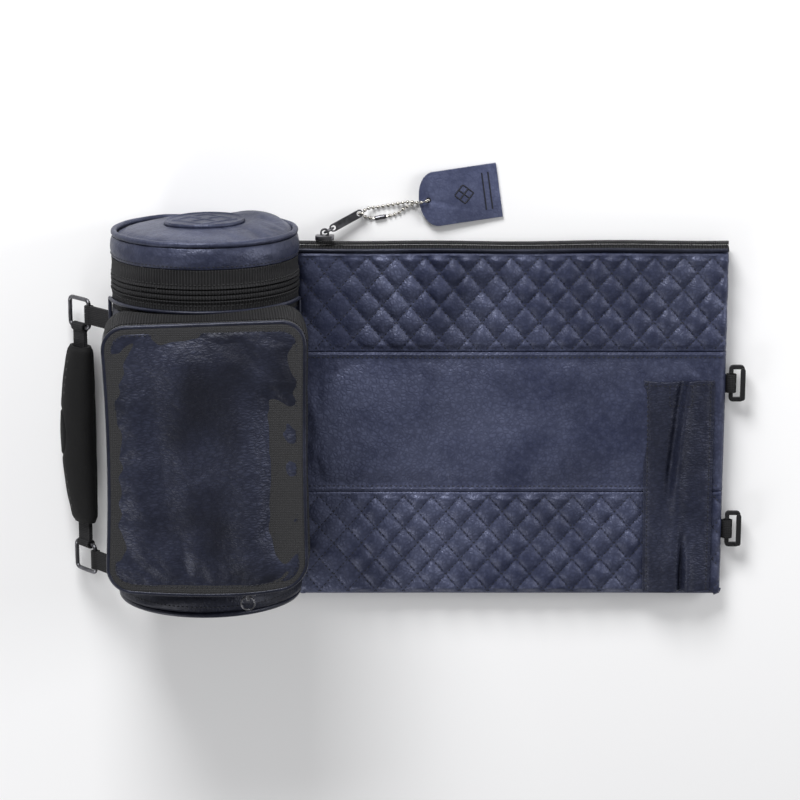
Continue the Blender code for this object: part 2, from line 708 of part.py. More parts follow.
def hang_pouch():
    """The pouch turns on the link rings, and carries its slider, chain, tag and clips."""
    middle_y = sum(LINK_YS.values()) / 2
    swing = joint("pouch_swing", (LINK_POUCH_BAR_X, middle_y, LINK_Z))
    of_pouch = ("pouch_", "clip_tab_", "clip_upper_", "clip_lower_")
    loose = [obj for obj in PARTS.objects if obj.name.startswith(of_pouch) and not obj.parent]
    carry(swing, *[obj for obj in loose if obj is not swing])


def make_pouch():
    left, right = POUCH_LEFT_X, POUCH_RIGHT_X
    bottom, top = POUCH_BOTTOM_Y, POUCH_TOP_Y
    front_low = POUCH_FRONT_Z - FRONT_WALL
    pouch_tray(front_low - GAP)
    low = (left + POUCH_WALL + GAP, bottom + POUCH_WALL + GAP, POUCH_BACK_Z + POUCH_WALL + GAP)
    high = (right - POUCH_WALL - GAP, top - 0.002, low[2] + POUCH_LINING)
    box("pouch_lining", low, high, "lining")
    seams = (bottom, bottom + LOWER_QUILT, top - UPPER_QUILT, top)
    names = ("pouch_lower_quilt", "pouch_centre_panel", "pouch_upper_quilt")
    for name, low_y, high_y in zip(names, seams, seams[1:]):
        start = (left, low_y + GAP / 2, front_low)
        end = (right, high_y - GAP / 2, POUCH_FRONT_Z)
        box(name, start, end, "navy_leather")
    welt_z = POUCH_FRONT_Z - 0.0022
    start = (left, top + GAP, welt_z)
    box("pouch_welt", start, (right, top + GAP + WELT_WIDTH, POUCH_FRONT_Z), "navy_leather")
    pouch_zip(welt_z)
    pouch_sleeve()


def pouch_tray(rim_z):
    """The back panel with its turned-up side and bottom seams, open along the top edge."""
    low = Vector((POUCH_LEFT_X, POUCH_BOTTOM_Y, POUCH_BACK_Z))
    high = Vector((POUCH_RIGHT_X, POUCH_TOP_Y, rim_z))
    tray = box("pouch_back", low, high, "navy_leather")
    low += Vector((1, 1, 1)) * POUCH_WALL
    high += Vector((-1, 1, 1)) * POUCH_WALL
    boolean(tray, box("pouch_room", low, high, "navy_leather", CUTTERS), "DIFFERENCE")


def pouch_zip(welt_z):
    """Two tapes that slope together from the pouch's lips to the coil at its top edge."""
    lip = POUCH_TOP_Y + GAP
    end_y = ZIP_COIL_Y - ZIP_COIL_RADIUS - GAP
    tape = 0.0012
    middle = POUCH_LEFT_X + POUCH_WIDTH / 2
    frame = plane(Y_AXIS, Z_AXIS, (middle, 0, POUCH_MID_Z))
    front_lip = welt_z - GAP - POUCH_MID_Z
    back_lip = POUCH_MID_Z - POUCH_BACK_Z
    near_coil = 0.0003
    front = [
        (lip, front_lip - tape),
        (lip, front_lip),
        (lip + 0.001, front_lip),
        (end_y, near_coil + tape),
        (end_y, near_coil),
    ]
    back = [
        (lip, -back_lip + tape),
        (lip, -back_lip),
        (lip + 0.001, -back_lip),
        (end_y, -near_coil - tape),
        (end_y, -near_coil),
    ]
    flat("pouch_zip_tape_front", [front], frame, POUCH_WIDTH, "black_webbing")
    flat("pouch_zip_tape_back", [back], frame, POUCH_WIDTH, "black_webbing")
    ends = (POUCH_LEFT_X, POUCH_RIGHT_X)
    path = [(x, ZIP_COIL_Y, POUCH_MID_Z) for x in ends]
    tube("pouch_zip_coil", path, ZIP_COIL_RADIUS, "black_coil")


def pouch_sleeve():
    """A strip sewn down along both long sides, open above and below."""
    low = POUCH_FRONT_Z + GAP
    lift = SLEEVE_ROOM + SLEEVE_WALL
    half = SLEEVE_WIDTH / 2
    inner = half - 2 * SLEEVE_WALL
    outline = [(-half, 0), (-inner, 0), (-inner, SLEEVE_ROOM), (inner, SLEEVE_ROOM)]
    outline += [(inner, 0), (half, 0), (half, lift), (-half, lift)]
    centre = (SLEEVE_LEFT_X + half, SLEEVE_TOP_Y - SLEEVE_LENGTH / 2, low)
    frame = plane(X_AXIS, Z_AXIS, centre)
    flat("pouch_sleeve", [outline], frame, SLEEVE_LENGTH, "navy_leather")


def make_pouch_slider():
    seat = Vector((POUCH_SLIDER_X, ZIP_COIL_Y + ZIP_COIL_RADIUS + LOOSE, POUCH_MID_Z))
    slider("pouch_slider", seat, X_AXIS, Y_AXIS, (0.0120, 0.0028, 0.0090), 0.0018)
    pivot = seat + Y_AXIS * (0.0028 + 0.0018)
    turn = math.radians(PULL_ANGLE)
    along = Vector((math.cos(turn), math.sin(turn), 0))
    drop = math.asin((POUCH_MID_Z - PULL_END_Z) / (PULL_LENGTH + 2 * LINK_LOOP))
    sloping = (along * math.cos(drop) - Z_AXIS * math.sin(drop)).normalized()
    loop_centre = pivot + sloping * LINK_LOOP
    frame = plane(sloping, Z_AXIS - sloping * sloping.z, loop_centre)
    path = [frame @ Vector((u, v, 0)) for u, v in circle((0, 0), LINK_LOOP, 20)]
    tube("pull_link", path, LINK_LOOP_WIRE, "gunmetal", cyclic=True)
    across = Z_AXIS.cross(along)
    half = PULL_WIDTH / 2
    near_eye = 0.0017
    outer = arc((0, 0), half, 90, 270, 8)
    outer += arc((PULL_LENGTH - half, 0), half, -90, 90, 8)
    far_eye = (PULL_LENGTH - half, 0)
    loops = [outer, circle((0, 0), near_eye, 12), circle(far_eye, near_eye, 12)]
    start = pivot + sloping * 2 * LINK_LOOP
    flat("pouch_pull", loops, plane(sloping, across, start), PULL_WALL, "gunmetal")
    eye = start + sloping * far_eye[0]
    hole = make_chain_and_tag(eye)
    run = joint("pouch_slider_run", seat, *named("pouch_slider"))
    pull_swing = joint("pouch_pull_swing", pivot, *named("pull_link", "pouch_pull"))
    chain_swing = joint("chain_swing", eye, *named("tag_chain", "chain_clasp"))
    tag_swing = joint("tag_swing", hole, *named("leather_tag"))
    carry(run, pull_swing)
    carry(pull_swing, chain_swing)
    carry(chain_swing, tag_swing)


def smooth(points, steps):
    """A closed smooth line through the points, with that many steps between neighbours."""
    line = []
    count = len(points)
    for i in range(count):
        a, b, c, d = (Vector(points[(i + k) % count]) for k in (-1, 0, 1, 2))
        for j in range(steps):
            t = j / steps
            line.append(
                0.5 * (2 * b + (c - a) * t + (2 * a - 5 * b + 4 * c - d) * t**2)
                + 0.5 * (3 * b - a - 3 * c + d) * t**3
            )
    return line


def make_chain_and_tag(eye):
    """A loop of ball chain from the pull's eye to the tag. It returns the tag's hole."""
    turn = math.radians(TAG_ANGLE)
    along = Vector((math.cos(turn), math.sin(turn), 0))
    across = Z_AXIS.cross(along)
    pitch = math.asin(TAG_LIFT / (TAG_LENGTH - TAG_HOLE_INSET))
    sloping = along * math.cos(pitch) - Z_AXIS * math.sin(pitch)
    hole = Vector((eye.x, eye.y, TAG_LIFT + TAG_WALL / 2)) + TAG_REACH
    run = (hole - eye).normalized()
    side = Z_AXIS.cross(run).normalized()
    low = 0.0013
    route = [
        eye + Z_AXIS * 0.0001,
        eye + run * 0.0022 + Z_AXIS * 0.0024,
        eye + run * 0.0055 + side * 0.0020 - Z_AXIS * 0.0008,
        eye + run * 0.014 + side * 0.0012 + Z_AXIS * (low - eye.z),
        hole - run * 0.014 + side * 0.0012 + Z_AXIS * (low + 0.0010 - hole.z),
        hole - run * 0.0065 + Z_AXIS * 0.0028,
        hole - run * 0.0015 + Z_AXIS * 0.0032,
        hole,
        hole - run * 0.0020 - Z_AXIS * 0.0024,
        hole - run * 0.014 - side * 0.0018 + Z_AXIS * (low - hole.z),
        eye + run * 0.024 - side * 0.0052 + Z_AXIS * (low - eye.z),
    ]
    clasp_start, clasp_end = (
        eye + run * at - side * 0.0056 + Z_AXIS * (low - eye.z) for at in (0.0160, 0.0095)
    )
    route += [
        clasp_start,
        clasp_end,
        eye + run * 0.0045 - side * 0.0040 + Z_AXIS * (low - eye.z),
        eye + run * 0.0008 - side * 0.0015 - Z_AXIS * 0.0026,
    ]
    line = smooth(route, 4)
    clasp_from, clasp_to = (line.index(p) for p in nearest(line, (clasp_start, clasp_end)))
    path = line[clasp_to:] + line[: clasp_from + 1]
    tube("tag_chain", path, CHAIN_WIRE, "nickel")
    direction = (clasp_start - clasp_end).normalized()
    ends = (clasp_end + direction * GAP, clasp_start - direction * GAP)
    tube("chain_clasp", ends, 0.0012, "gunmetal")
    half = TAG_WIDTH / 2
    tip = half * 0.62
    outline = arc((half - TAG_HOLE_INSET, 0), half, 90, 270, 16)
    outline = [(u * (tip / half) - TAG_HOLE_INSET * 0.38, v) for u, v in outline]
    far = TAG_LENGTH - TAG_HOLE_INSET
    outline += [(far, -half), (far, half)]
    loops = [outline, circle((0, 0), 0.0018, 12)]
    flat("leather_tag", loops, plane(sloping, across, hole), TAG_WALL, "navy_leather")
    return hole


def nearest(line, spots):
    return [min(line, key=lambda p: (p - spot).length) for spot in spots]


# Clips


def make_clips():
    bar_x = POUCH_RIGHT_X + GAP + STRAP_WALL + 0.0023 + 0.0003
    for name, y in CLIP_YS.items():
        bar = Vector((bar_x, y, POUCH_MID_Z))
        root = Vector((POUCH_RIGHT_X + GAP, y, POUCH_MID_Z))
        strap_loop(f"clip_tab_{name}", bar, Y_AXIS, root, STRAP_WIDTH, 0.0020)
        clip_frame(name, bar)
        clip_gate(name, bar)
        swivel = joint(f"clip_{name}_swivel", bar, *named(f"clip_frame_{name}"))
        gate = named(f"clip_gate_{name}")
        carry(swivel, joint(f"gate_{name}_turn", gate_pivot(bar), *gate))


def gate_pivot(bar):
    right = CLIP_WIDTH - CLIP_BAR
    return bar + Vector((right, -CLIP_HEIGHT / 2 + CLIP_BAR / 2 + 0.0012, 0))


def clip_frame(name, bar):
    """A C-shaped frame. Its left bar is in the strap, and the gate spans its open right side."""
    half_bar = CLIP_BAR / 2
    right, top = CLIP_WIDTH - half_bar, CLIP_HEIGHT / 2
    inner_right, inner_top = right - CLIP_BAR, top - CLIP_BAR
    jaw_low, jaw_high = -top + 0.0060, inner_top
    outline = [(right, jaw_low), (inner_right, jaw_low), (inner_right, -inner_top)]
    outline += [(half_bar, -inner_top), (half_bar, inner_top), (inner_right, jaw_high)]
    outline += [(right, jaw_high)]
    corners = ((right, top, 0), (-half_bar, top, 90), (-half_bar, -top, 180), (right, -top, 270))
    r = CLIP_CORNER * 0.8
    for (u, v, start), (du, dv) in zip(corners, ((-1, -1), (1, -1), (1, 1), (-1, 1))):
        outline += arc((u + du * r, v + dv * r), r, start, start + 90, 3)
    pivot = gate_pivot(bar) - bar
    hole = circle((pivot.x, pivot.y), GATE_PIN + GAP, 10)
    loops = [outline, hole]
    flat(f"clip_frame_{name}", loops, plane(X_AXIS, Y_AXIS, bar), CLIP_WALL, "clip_plastic")


def clip_gate(name, bar):
    """A sprung bar over the frame's open side. It turns on its own pin in the frame."""
    pivot = gate_pivot(bar)
    length = CLIP_HEIGHT - CLIP_BAR - 0.0016
    half = 0.0016
    outline = arc((0, length - half), half, 0, 180, 6) + arc((0, 0), half, 180, 360, 6)
    lift = CLIP_WALL / 2 + GAP + GATE_WALL / 2
    frame = plane(X_AXIS, Y_AXIS, pivot + Z_AXIS * lift)
    plate = as_mesh(flat(f"clip_gate_{name}", [outline], frame, GATE_WALL, "clip_plastic"))
    depth = CLIP_WALL + GAP + GATE_WALL / 2
    pin_frame = plane(X_AXIS, Y_AXIS, pivot + Z_AXIS * (lift - depth / 2))
    loops = [circle((0, 0), GATE_PIN, 10)]
    pin = as_mesh(flat(f"gate_pin_{name}", loops, pin_frame, depth, "clip_plastic"))
    boolean(plate, pin, "UNION")


clear_scene()
PARTS, CUTTERS = make_collections()
make_case()
make_lid()
make_lid_slider()
make_pocket()
make_pocket_slider()
make_handle()
make_links()
make_pouch()
make_pouch_slider()
make_clips()
hang_pouch()
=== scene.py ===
"""A round leather zip bag with its flat quilted pouch: skins, stitching, zips, hardware and stage.

Run as a script, it lays every visible piece over a fixed frame of solids. Sizes are in metres.
X runs from the bag to its pouch, Y up to the bag's lid, and Z up from the table it lies on.
"""

import json
import math

import bmesh
import bpy
from bpy.props import FloatProperty, FloatVectorProperty, PointerProperty
from mathutils import Matrix, Vector, noise
from mathutils.bvhtree import BVHTree


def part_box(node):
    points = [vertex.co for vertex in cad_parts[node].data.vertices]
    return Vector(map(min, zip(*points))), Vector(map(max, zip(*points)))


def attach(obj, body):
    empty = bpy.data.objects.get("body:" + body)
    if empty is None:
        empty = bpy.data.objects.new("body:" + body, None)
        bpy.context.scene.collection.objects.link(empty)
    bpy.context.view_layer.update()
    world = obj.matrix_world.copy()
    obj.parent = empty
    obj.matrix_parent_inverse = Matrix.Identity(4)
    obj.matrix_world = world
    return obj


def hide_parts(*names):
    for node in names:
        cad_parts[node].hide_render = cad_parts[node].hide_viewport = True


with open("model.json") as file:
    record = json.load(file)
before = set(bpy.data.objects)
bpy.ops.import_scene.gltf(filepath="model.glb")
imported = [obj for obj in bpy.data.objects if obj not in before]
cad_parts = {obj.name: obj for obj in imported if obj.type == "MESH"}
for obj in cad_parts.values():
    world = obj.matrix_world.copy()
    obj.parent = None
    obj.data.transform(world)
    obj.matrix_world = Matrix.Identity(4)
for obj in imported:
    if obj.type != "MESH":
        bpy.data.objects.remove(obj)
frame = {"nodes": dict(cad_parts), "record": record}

bl_info = {
    "name": "Round Zip Bag and Pouch",
    "version": (1, 0, 0),
    "blender": (4, 5, 0),
    "location": "3D View > Sidebar > Bag",
    "description": "Leather skins, quilting, stitching, zips and hardware for a bag and its pouch",
    "category": "Object",
}


# Measures taken from the frame


def low(node):
    return Vector(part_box(node)[0])


def high(node):
    return Vector(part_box(node)[1])


GAP = 0.0003
BARREL_RADIUS = 0.0585
BARREL_AXIS_Z = high("case_shell").z - BARREL_RADIUS
BASE_Y = low("case_base_panel").y
SHELL_LOW_Y = low("case_shell").y
SHELL_TOP_Y = high("case_shell").y
RIM_Y = high("lid_piping").y - 0.0034
POCKET_LOW = low("pocket_gusset")
POCKET_HIGH = high("pocket_gusset")
POCKET_CENTRE = (POCKET_LOW + POCKET_HIGH) / 2
POCKET_HALF = (POCKET_HIGH - POCKET_LOW) / 2
POCKET_CORNER = 0.016
POCKET_FLOOR_Z = POCKET_LOW.z
PANEL_LOW_Z = low("pocket_panel").z
PANEL_TOP_Z = high("pocket_panel").z
POUCH_LOW = low("pouch_back")
POUCH_HIGH = high("pouch_upper_quilt")
POUCH_RIM_Z = high("pouch_back").z
POUCH_TOP_Z = POUCH_HIGH.z
BODY_OF = {
    node: body
    for body, nodes in frame["record"]["behaviour"]["bodies"].items()
    for node in nodes
}


# What a user may change


class BagSizes(bpy.types.PropertyGroup):
    """Sizes of the quilting, stitching and padding."""

    quilt_width: FloatProperty(
        name="Diamond width", description="Width of one quilted diamond", default=0.0184,
        unit="LENGTH",
    )
    quilt_height: FloatProperty(
        name="Diamond height", description="Height of one quilted diamond", default=0.0214,
        unit="LENGTH",
    )
    quilt_puff: FloatProperty(
        name="Quilt puff", description="How far a diamond's middle rises over its stitching",
        default=0.0030, unit="LENGTH",
    )
    stitch_pitch: FloatProperty(
        name="Stitch pitch", description="From one stitch to the next", default=0.0031,
        unit="LENGTH",
    )
    stitch_length: FloatProperty(
        name="Stitch length", description="Length of thread that shows", default=0.0020,
        unit="LENGTH",
    )
    thread_radius: FloatProperty(
        name="Thread radius", description="Half the thickness of the thread", default=0.00036,
        unit="LENGTH",
    )
    pocket_crown: FloatProperty(
        name="Pocket crown", description="Most that the pocket's padding may rise",
        default=0.0045, unit="LENGTH",
    )
    lid_slump: FloatProperty(
        name="Lid slump", description="How far one side of the lid's padding stands over the other",
        default=0.0045, unit="LENGTH",
    )
    bead_radius: FloatProperty(
        name="Bead radius", description="Radius of one bead of the chain", default=0.0012,
        unit="LENGTH",
    )
    bead_pitch: FloatProperty(
        name="Bead pitch", description="From one bead to the next", default=0.0032,
        unit="LENGTH",
    )


def colour(name, description, default):
    return FloatVectorProperty(
        name=name, description=description, default=default, subtype="COLOR", min=0, max=1
    )


class BagColours(bpy.types.PropertyGroup):
    """Colours of the leather, webbing and metal."""

    leather_light: colour("Leather, light", "The leather's worn tone", (0.085, 0.096, 0.160))
    leather_dark: colour("Leather, dark", "The leather's deep tone", (0.022, 0.027, 0.060))
    black: colour("Black", "Webbing, zips and grip", (0.011, 0.011, 0.012))
    thread: colour("Thread", "Stitching on the leather", (0.004, 0.005, 0.011))
    gunmetal: colour("Gunmetal", "Rings, sliders and pulls", (0.110, 0.110, 0.120))
    nickel: colour("Nickel", "The ball chain", (0.520, 0.500, 0.460))
    floor: colour("Floor", "The table under the bag", (0.860, 0.860, 0.870))


def sizes():
    return bpy.context.scene.bag_sizes


def colours():
    return bpy.context.scene.bag_colours


# Materials


class Shade:
    """A socket of a material. Sums and products of it add Math nodes."""

    def __init__(self, paint, socket):
        self.paint = paint
        self.socket = socket

    def __add__(self, other):
        return self.paint.math("ADD", self, other)

    def __sub__(self, other):
        return self.paint.math("SUBTRACT", self, other)

    def __rsub__(self, other):
        return self.paint.math("SUBTRACT", other, self)

    def __mul__(self, other):
        return self.paint.math("MULTIPLY", self, other)

    def __pow__(self, other):
        return self.paint.math("POWER", self, other)

    __radd__ = __add__
    __rmul__ = __mul__


class Paint:
    """One material, and the few kinds of node it is made of."""

    def __init__(self, name):
        self.material = bpy.data.materials.new(name)
        self.material.use_nodes = True
        self.tree = self.material.node_tree
        self.shader = self.tree.nodes["Principled BSDF"]

    def feed(self, socket, value):
        if isinstance(value, Shade):
            self.tree.links.new(value.socket, socket)
        else:
            socket.default_value = value

    def node(self, kind, settings, values, output=0):
        node = self.tree.nodes.new("ShaderNode" + kind)
        for name, value in settings.items():
            setattr(node, name, value)
        for name, value in values.items():
            self.feed(node.inputs[name], value)
        return Shade(self, node.outputs[output])

    def math(self, operation, *values):
        return self.node("Math", {"operation": operation}, dict(enumerate(values)))

    def spot(self, scale=(1, 1, 1), turn=(0, 0, 0)):
        """Where a point is on the piece, in metres."""
        place = self.node("TexCoord", {}, {}, "Object")
        values = {"Vector": place, "Scale": scale, "Rotation": turn}
        return self.node("Mapping", {}, values)

    def along(self, axis, vector=None):
        """One coordinate of a vector: 0 for X, 1 for Y, 2 for Z."""
        return self.node("SeparateXYZ", {}, {"Vector": vector or self.spot()}, axis)

    def layout(self):
        """The piece's own flat pattern, in metres."""
        return self.node("TexCoord", {}, {}, "UV")

    def noise(self, scale, detail=3.0, vector=None, warp=0.0):
        values = {"Scale": scale, "Detail": detail, "Distortion": warp}
        values["Vector"] = vector or self.spot()
        return self.node("TexNoise", {}, values)

    def cells(self, scale, vector=None, feature="F1"):
        values = {"Scale": scale, "Vector": vector or self.spot()}
        return self.node("TexVoronoi", {"feature": feature}, values)

    def ramp(self, value, start, end):
        """0 before start and 1 after end, eased between them."""
        values = {"Value": value, "From Min": start, "From Max": end}
        return self.node("MapRange", {"interpolation_type": "SMOOTHSTEP"}, values)

    def ribs(self, coordinate, pitch):
        """0 to 1 and back once for each pitch along a coordinate."""
        return self.math("SINE", coordinate * (math.tau / pitch)) * 0.5 + 0.5

    def mix(self, first, second, share):
        """From the first colour, at 0, to the second, at 1."""
        values = {0: share, 6: first, 7: second}
        return self.node("Mix", {"data_type": "RGBA"}, values, 2)

    def bump(self, height, depth, strength=1.0, under=None):
        values = {"Height": height, "Distance": depth, "Strength": strength}
        if under:
            values["Normal"] = under
        return self.node("Bump", {}, values)

    def finish(self, colour, roughness, normal=None, **plain):
        self.feed(self.shader.inputs["Base Color"], colour)
        self.feed(self.shader.inputs["Roughness"], roughness)
        if normal:
            self.feed(self.shader.inputs["Normal"], normal)
        for name, value in plain.items():
            self.shader.inputs[name.replace("_", " ")].default_value = value
        return self.material


def rgb(values, gain=1.0):
    return (*(value * gain for value in values), 1.0)


def leather(name, tone, sheen, creases, patches=0.25, stretch=(1, 1, 1), turn=(0, 0, 0)):
    """Soft grained leather: patchy in colour, pebbled, and lined by fine creases, darkened along them by
    painted shade.
    """
    paint = Paint(name)
    clouds = paint.noise(19, 5, warp=0.4)
    mottle = paint.noise(230, 4)
    lay = paint.spot(stretch, turn)
    lines = paint.cells(360, paint.node("VectorMath", {"operation": "ADD"}, {
        0: lay,
        1: paint.node("VectorMath", {"operation": "SCALE"}, {
            0: paint.node("TexNoise", {}, {"Vector": lay, "Scale": 90.0}, "Color"),
            "Scale": 0.004,
        }),
    }), "DISTANCE_TO_EDGE")
    folds = 1 - paint.ramp(lines, 0.0, 0.34)
    worn = paint.ramp(clouds, 0.34, 0.70) * 0.62 + paint.ramp(mottle, 0.30, 0.75) * 0.30
    pebble = paint.cells(880, feature="SMOOTH_F1")
    pores = paint.noise(2400, 2)
    light = rgb(colours().leather_light, tone)
    dark = rgb(colours().leather_dark, tone)
    tint = paint.mix(dark, light, worn + (1 - pebble) * 0.10 - 0.06)
    # painted shade: the colour darkens along the fine crease lines, where shade would fall in them
    tint = paint.mix(tint, rgb(colours().leather_dark, tone * 0.4), folds * creases * 0.55)
    broad = 1 - paint.ramp(paint.noise(16, 2), 0.36, 0.60)
    tint = paint.mix(tint, rgb(colours().leather_dark, tone * 0.3), broad * patches)
    grain = (1 - pebble) * 0.6 + pores * 0.25
    normal = paint.bump(grain, 0.00022, 0.75)
    normal = paint.bump(1 - folds * paint.ramp(clouds, 0.30, 0.62), 0.0003 * creases, 0.7, normal)
    normal = paint.bump(mottle, 0.0009 * creases, 0.8, normal)
    roughness = sheen + pebble * 0.14 - worn * 0.08
    return paint.finish(tint, roughness, normal, Metallic=0.28, Specular_IOR_Level=0.34)


def ribbed(name, ribs_axis, pitch, depth, gain=1.0):
    """Black corded tape: ribs across its own pattern, with a fine weave between them."""
    paint = Paint(name)
    layout = paint.layout()
    ribs = paint.ribs(paint.along(ribs_axis, layout), pitch)
    weave = paint.ribs(paint.along(1 - ribs_axis, layout), 0.00062)
    fuzz = paint.noise(1500, 3)
    black = colours().black
    # painted shade and highlight: the rib crests are coloured lighter and the grooves between them darker
    tint = paint.mix(rgb(black, 0.35 * gain), rgb(black, 2.4 * gain), ribs * 0.65 + fuzz * 0.3)
    normal = paint.bump(ribs + weave * 0.30 + fuzz * 0.25, depth)
    return paint.finish(tint, 0.78 - ribs * 0.12, normal, Specular_IOR_Level=0.2)


def woven(name, gain=1.0):
    """Plain woven nylon webbing, read in space so that it suits a strap laid any way."""
    paint = Paint(name)
    lengthways = paint.ribs(paint.along(1), 0.0012)
    across = paint.ribs(paint.along(0) + paint.along(2) * 0.8, 0.0012)
    fuzz = paint.noise(1300, 3)
    weave = lengthways * 0.6 + across * 0.4
    black = colours().black
    # painted shade and highlight: the weave's raised threads are coloured lighter and the gaps between them
    # darker
    tint = paint.mix(rgb(black, 0.5 * gain), rgb(black, 2.0 * gain), weave * 0.7 + fuzz * 0.3)
    normal = paint.bump(weave + fuzz * 0.4, 0.0003)
    return paint.finish(tint, 0.82 - weave * 0.1, normal, Specular_IOR_Level=0.2)


def metal(name, tint, roughness, wear):
    """Plated metal with a fine brushed haze, brighter where handling has rubbed it."""
    paint = Paint(name)
    haze = paint.noise(420, 4)
    rubbed = paint.ramp(paint.noise(120, 3), 0.45, 0.75)
    shade = paint.mix(rgb(tint, 0.8), rgb(tint, wear), rubbed * 0.7 + haze * 0.2)
    normal = paint.bump(haze, 0.00004)
    return paint.finish(shade, haze * 0.16 + roughness, normal, Metallic=1.0)


def moulded(name, gain, roughness, grain, depth):
    """Moulded or coated black, with a fine even grain."""
    paint = Paint(name)
    pebble = paint.cells(grain)
    patches = paint.noise(60, 3)
    black = colours().black
    tint = paint.mix(rgb(black, gain), rgb(black, 1.9 * gain), patches * 0.7 + pebble * 0.3)
    normal = paint.bump(1 - pebble, depth, 0.8)
    return paint.finish(tint, patches * 0.14 + roughness, normal, Specular_IOR_Level=0.2)


def plain_cloth(name, tint, pitch):
    """Plain-weave cloth, read in space."""
    paint = Paint(name)
    weave = paint.ribs(paint.along(0) + paint.along(2), pitch)
    weave = weave * paint.ribs(paint.along(1) + paint.along(2), pitch)
    fuzz = paint.noise(900, 3)
    # painted shade and highlight: the weave's raised threads are coloured lighter and the gaps between them
    # darker
    shade = paint.mix(rgb(tint, 0.6), rgb(tint, 1.3), weave * 0.5 + fuzz * 0.5)
    return paint.finish(shade, 0.85 - weave * 0.1, paint.bump(weave + fuzz, 0.00025))


def twisted(name, tint):
    """Twisted thread."""
    paint = Paint(name)
    strands = paint.noise(1900, 2)
    shade = paint.mix(rgb(tint, 0.7), rgb(tint, 1.8), strands)
    return paint.finish(shade, strands * 0.2 + 0.5, paint.bump(strands, 0.0001))


def corded(name):
    """The moulded nylon of a zip's coil, darkened between its ridges by painted shade."""
    paint = Paint(name)
    haze = paint.noise(700, 3)
    ridges = paint.ribs(paint.along(0) + paint.along(1) * 0.4, 0.0013)
    black = colours().black
    # painted shade and highlight: lighter colour on the ridges, darker between them
    shade = paint.mix(rgb(black, 0.6), rgb(black, 2.2), haze * 0.5 + ridges * 0.4)
    return paint.finish(shade, haze * 0.15 + 0.38, paint.bump(haze + ridges, 0.0001))


def recipes():
    """How each finish is made."""
    slanted = (0, 0, math.radians(28))
    return {
        "pouch_leather": lambda: leather("pouch_leather", 1.2, 0.43, 0.6),
        "pocket_leather": lambda: leather(
            "pocket_leather", 0.56, 0.45, 0.8, 0.85, (0.6, 1.6, 1.0), slanted
        ),
        # painted shade: the barrel, base and upper gusset leather gets a far lower tone than the same
        # leather on the pouch, so that it reads as lying in shadow
        "bag_leather_painted_shade": lambda: leather("bag_leather_painted_shade", 0.34, 0.46, 0.6, 0.4, (1.4, 0.7, 1.0)),
        "lid_leather": lambda: leather("lid_leather", 0.86, 0.42, 0.4),
        "sleeve_leather": lambda: leather("sleeve_leather", 0.66, 0.43, 0.8, 0.35, (0.6, 1.6, 1.0), slanted),
        "tag_leather": lambda: leather("tag_leather", 1.8, 0.44, 0.3),
        "piping": lambda: leather("piping_leather", 0.36, 0.36, 0.3),
        "thread": lambda: twisted("navy_thread", colours().thread),
        "black_thread": lambda: twisted("black_thread", colours().black),
        "gunmetal": lambda: metal("gunmetal_finish", colours().gunmetal, 0.24, 2.2),
        "nickel": lambda: metal("nickel_finish", colours().nickel, 0.18, 1.3),
        "grip": lambda: moulded("grip_rubber", 0.3, 0.66, 1500, 0.00018),
        "clip": lambda: moulded("clip_nylon", 0.9, 0.30, 700, 0.00006),
        "lining": lambda: plain_cloth("lining_cloth", (0.020, 0.020, 0.022), 0.0011),
        "board": lambda: plain_cloth("stiff_board", (0.075, 0.066, 0.055), 0.0028),
        "tape": lambda: ribbed("zip_tape_ribbed", 0, 0.0019, 0.00050),
        "coil": lambda: corded("zip_nylon"),
        "webbing": lambda: woven("nylon_webbing"),
    }


MADE = {}


def look(name):
    """The finish of that name, made the first time that a piece needs it."""
    if name not in MADE:
        MADE[name] = recipes()[name]()
    return MADE[name]


# Making pieces


def outward(shape, away):
    """Turns an open skin's faces to look the way that away(point) points."""
    bmesh.ops.recalc_face_normals(shape, faces=shape.faces)
    facing = sum(face.normal.dot(away(face.calc_center_median())) for face in shape.faces)
    if facing < 0:
        bmesh.ops.reverse_faces(shape, faces=shape.faces)


def piece(name, shape, body, finish, stands_for=(), wall=0.0, rounds=0, sharp=42):
    """Makes a bmesh a piece of the bag, which moves with a body and has a finish."""
    mesh = bpy.data.meshes.new(name)
    shape.to_mesh(mesh)
    shape.free()
    obj = bpy.data.objects.new(name, mesh)
    bpy.context.scene.collection.objects.link(obj)
    mesh.materials.append(look(finish))
    mesh.shade_smooth()
    mesh.set_sharp_from_angle(angle=math.radians(sharp))
    if wall:
        solid = obj.modifiers.new("wall", "SOLIDIFY")
        solid.thickness = wall
        solid.offset = -1
    if rounds:
        smooth = obj.modifiers.new("rounds", "SUBSURF")
        smooth.levels = smooth.render_levels = rounds
    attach(obj, body)
    if stands_for:
        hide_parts(*stands_for)
    return obj


def sheet(columns, rows, place, size):
    """A grid laid out by place(u, v), with u and v from 0 to 1. Its flat pattern is in metres."""
    shape = bmesh.new()
    layout = shape.loops.layers.uv.new("UVMap")
    bmesh.ops.create_grid(shape, x_segments=columns, y_segments=rows, size=0.5)
    for face in shape.faces:
        for loop in face.loops:
            u, v = loop.vert.co.x + 0.5, loop.vert.co.y + 0.5
            loop[layout].uv = (u * size[0], v * size[1])
    for vert in shape.verts:
        vert.co = place(vert.co.x + 0.5, vert.co.y + 0.5)
    return shape


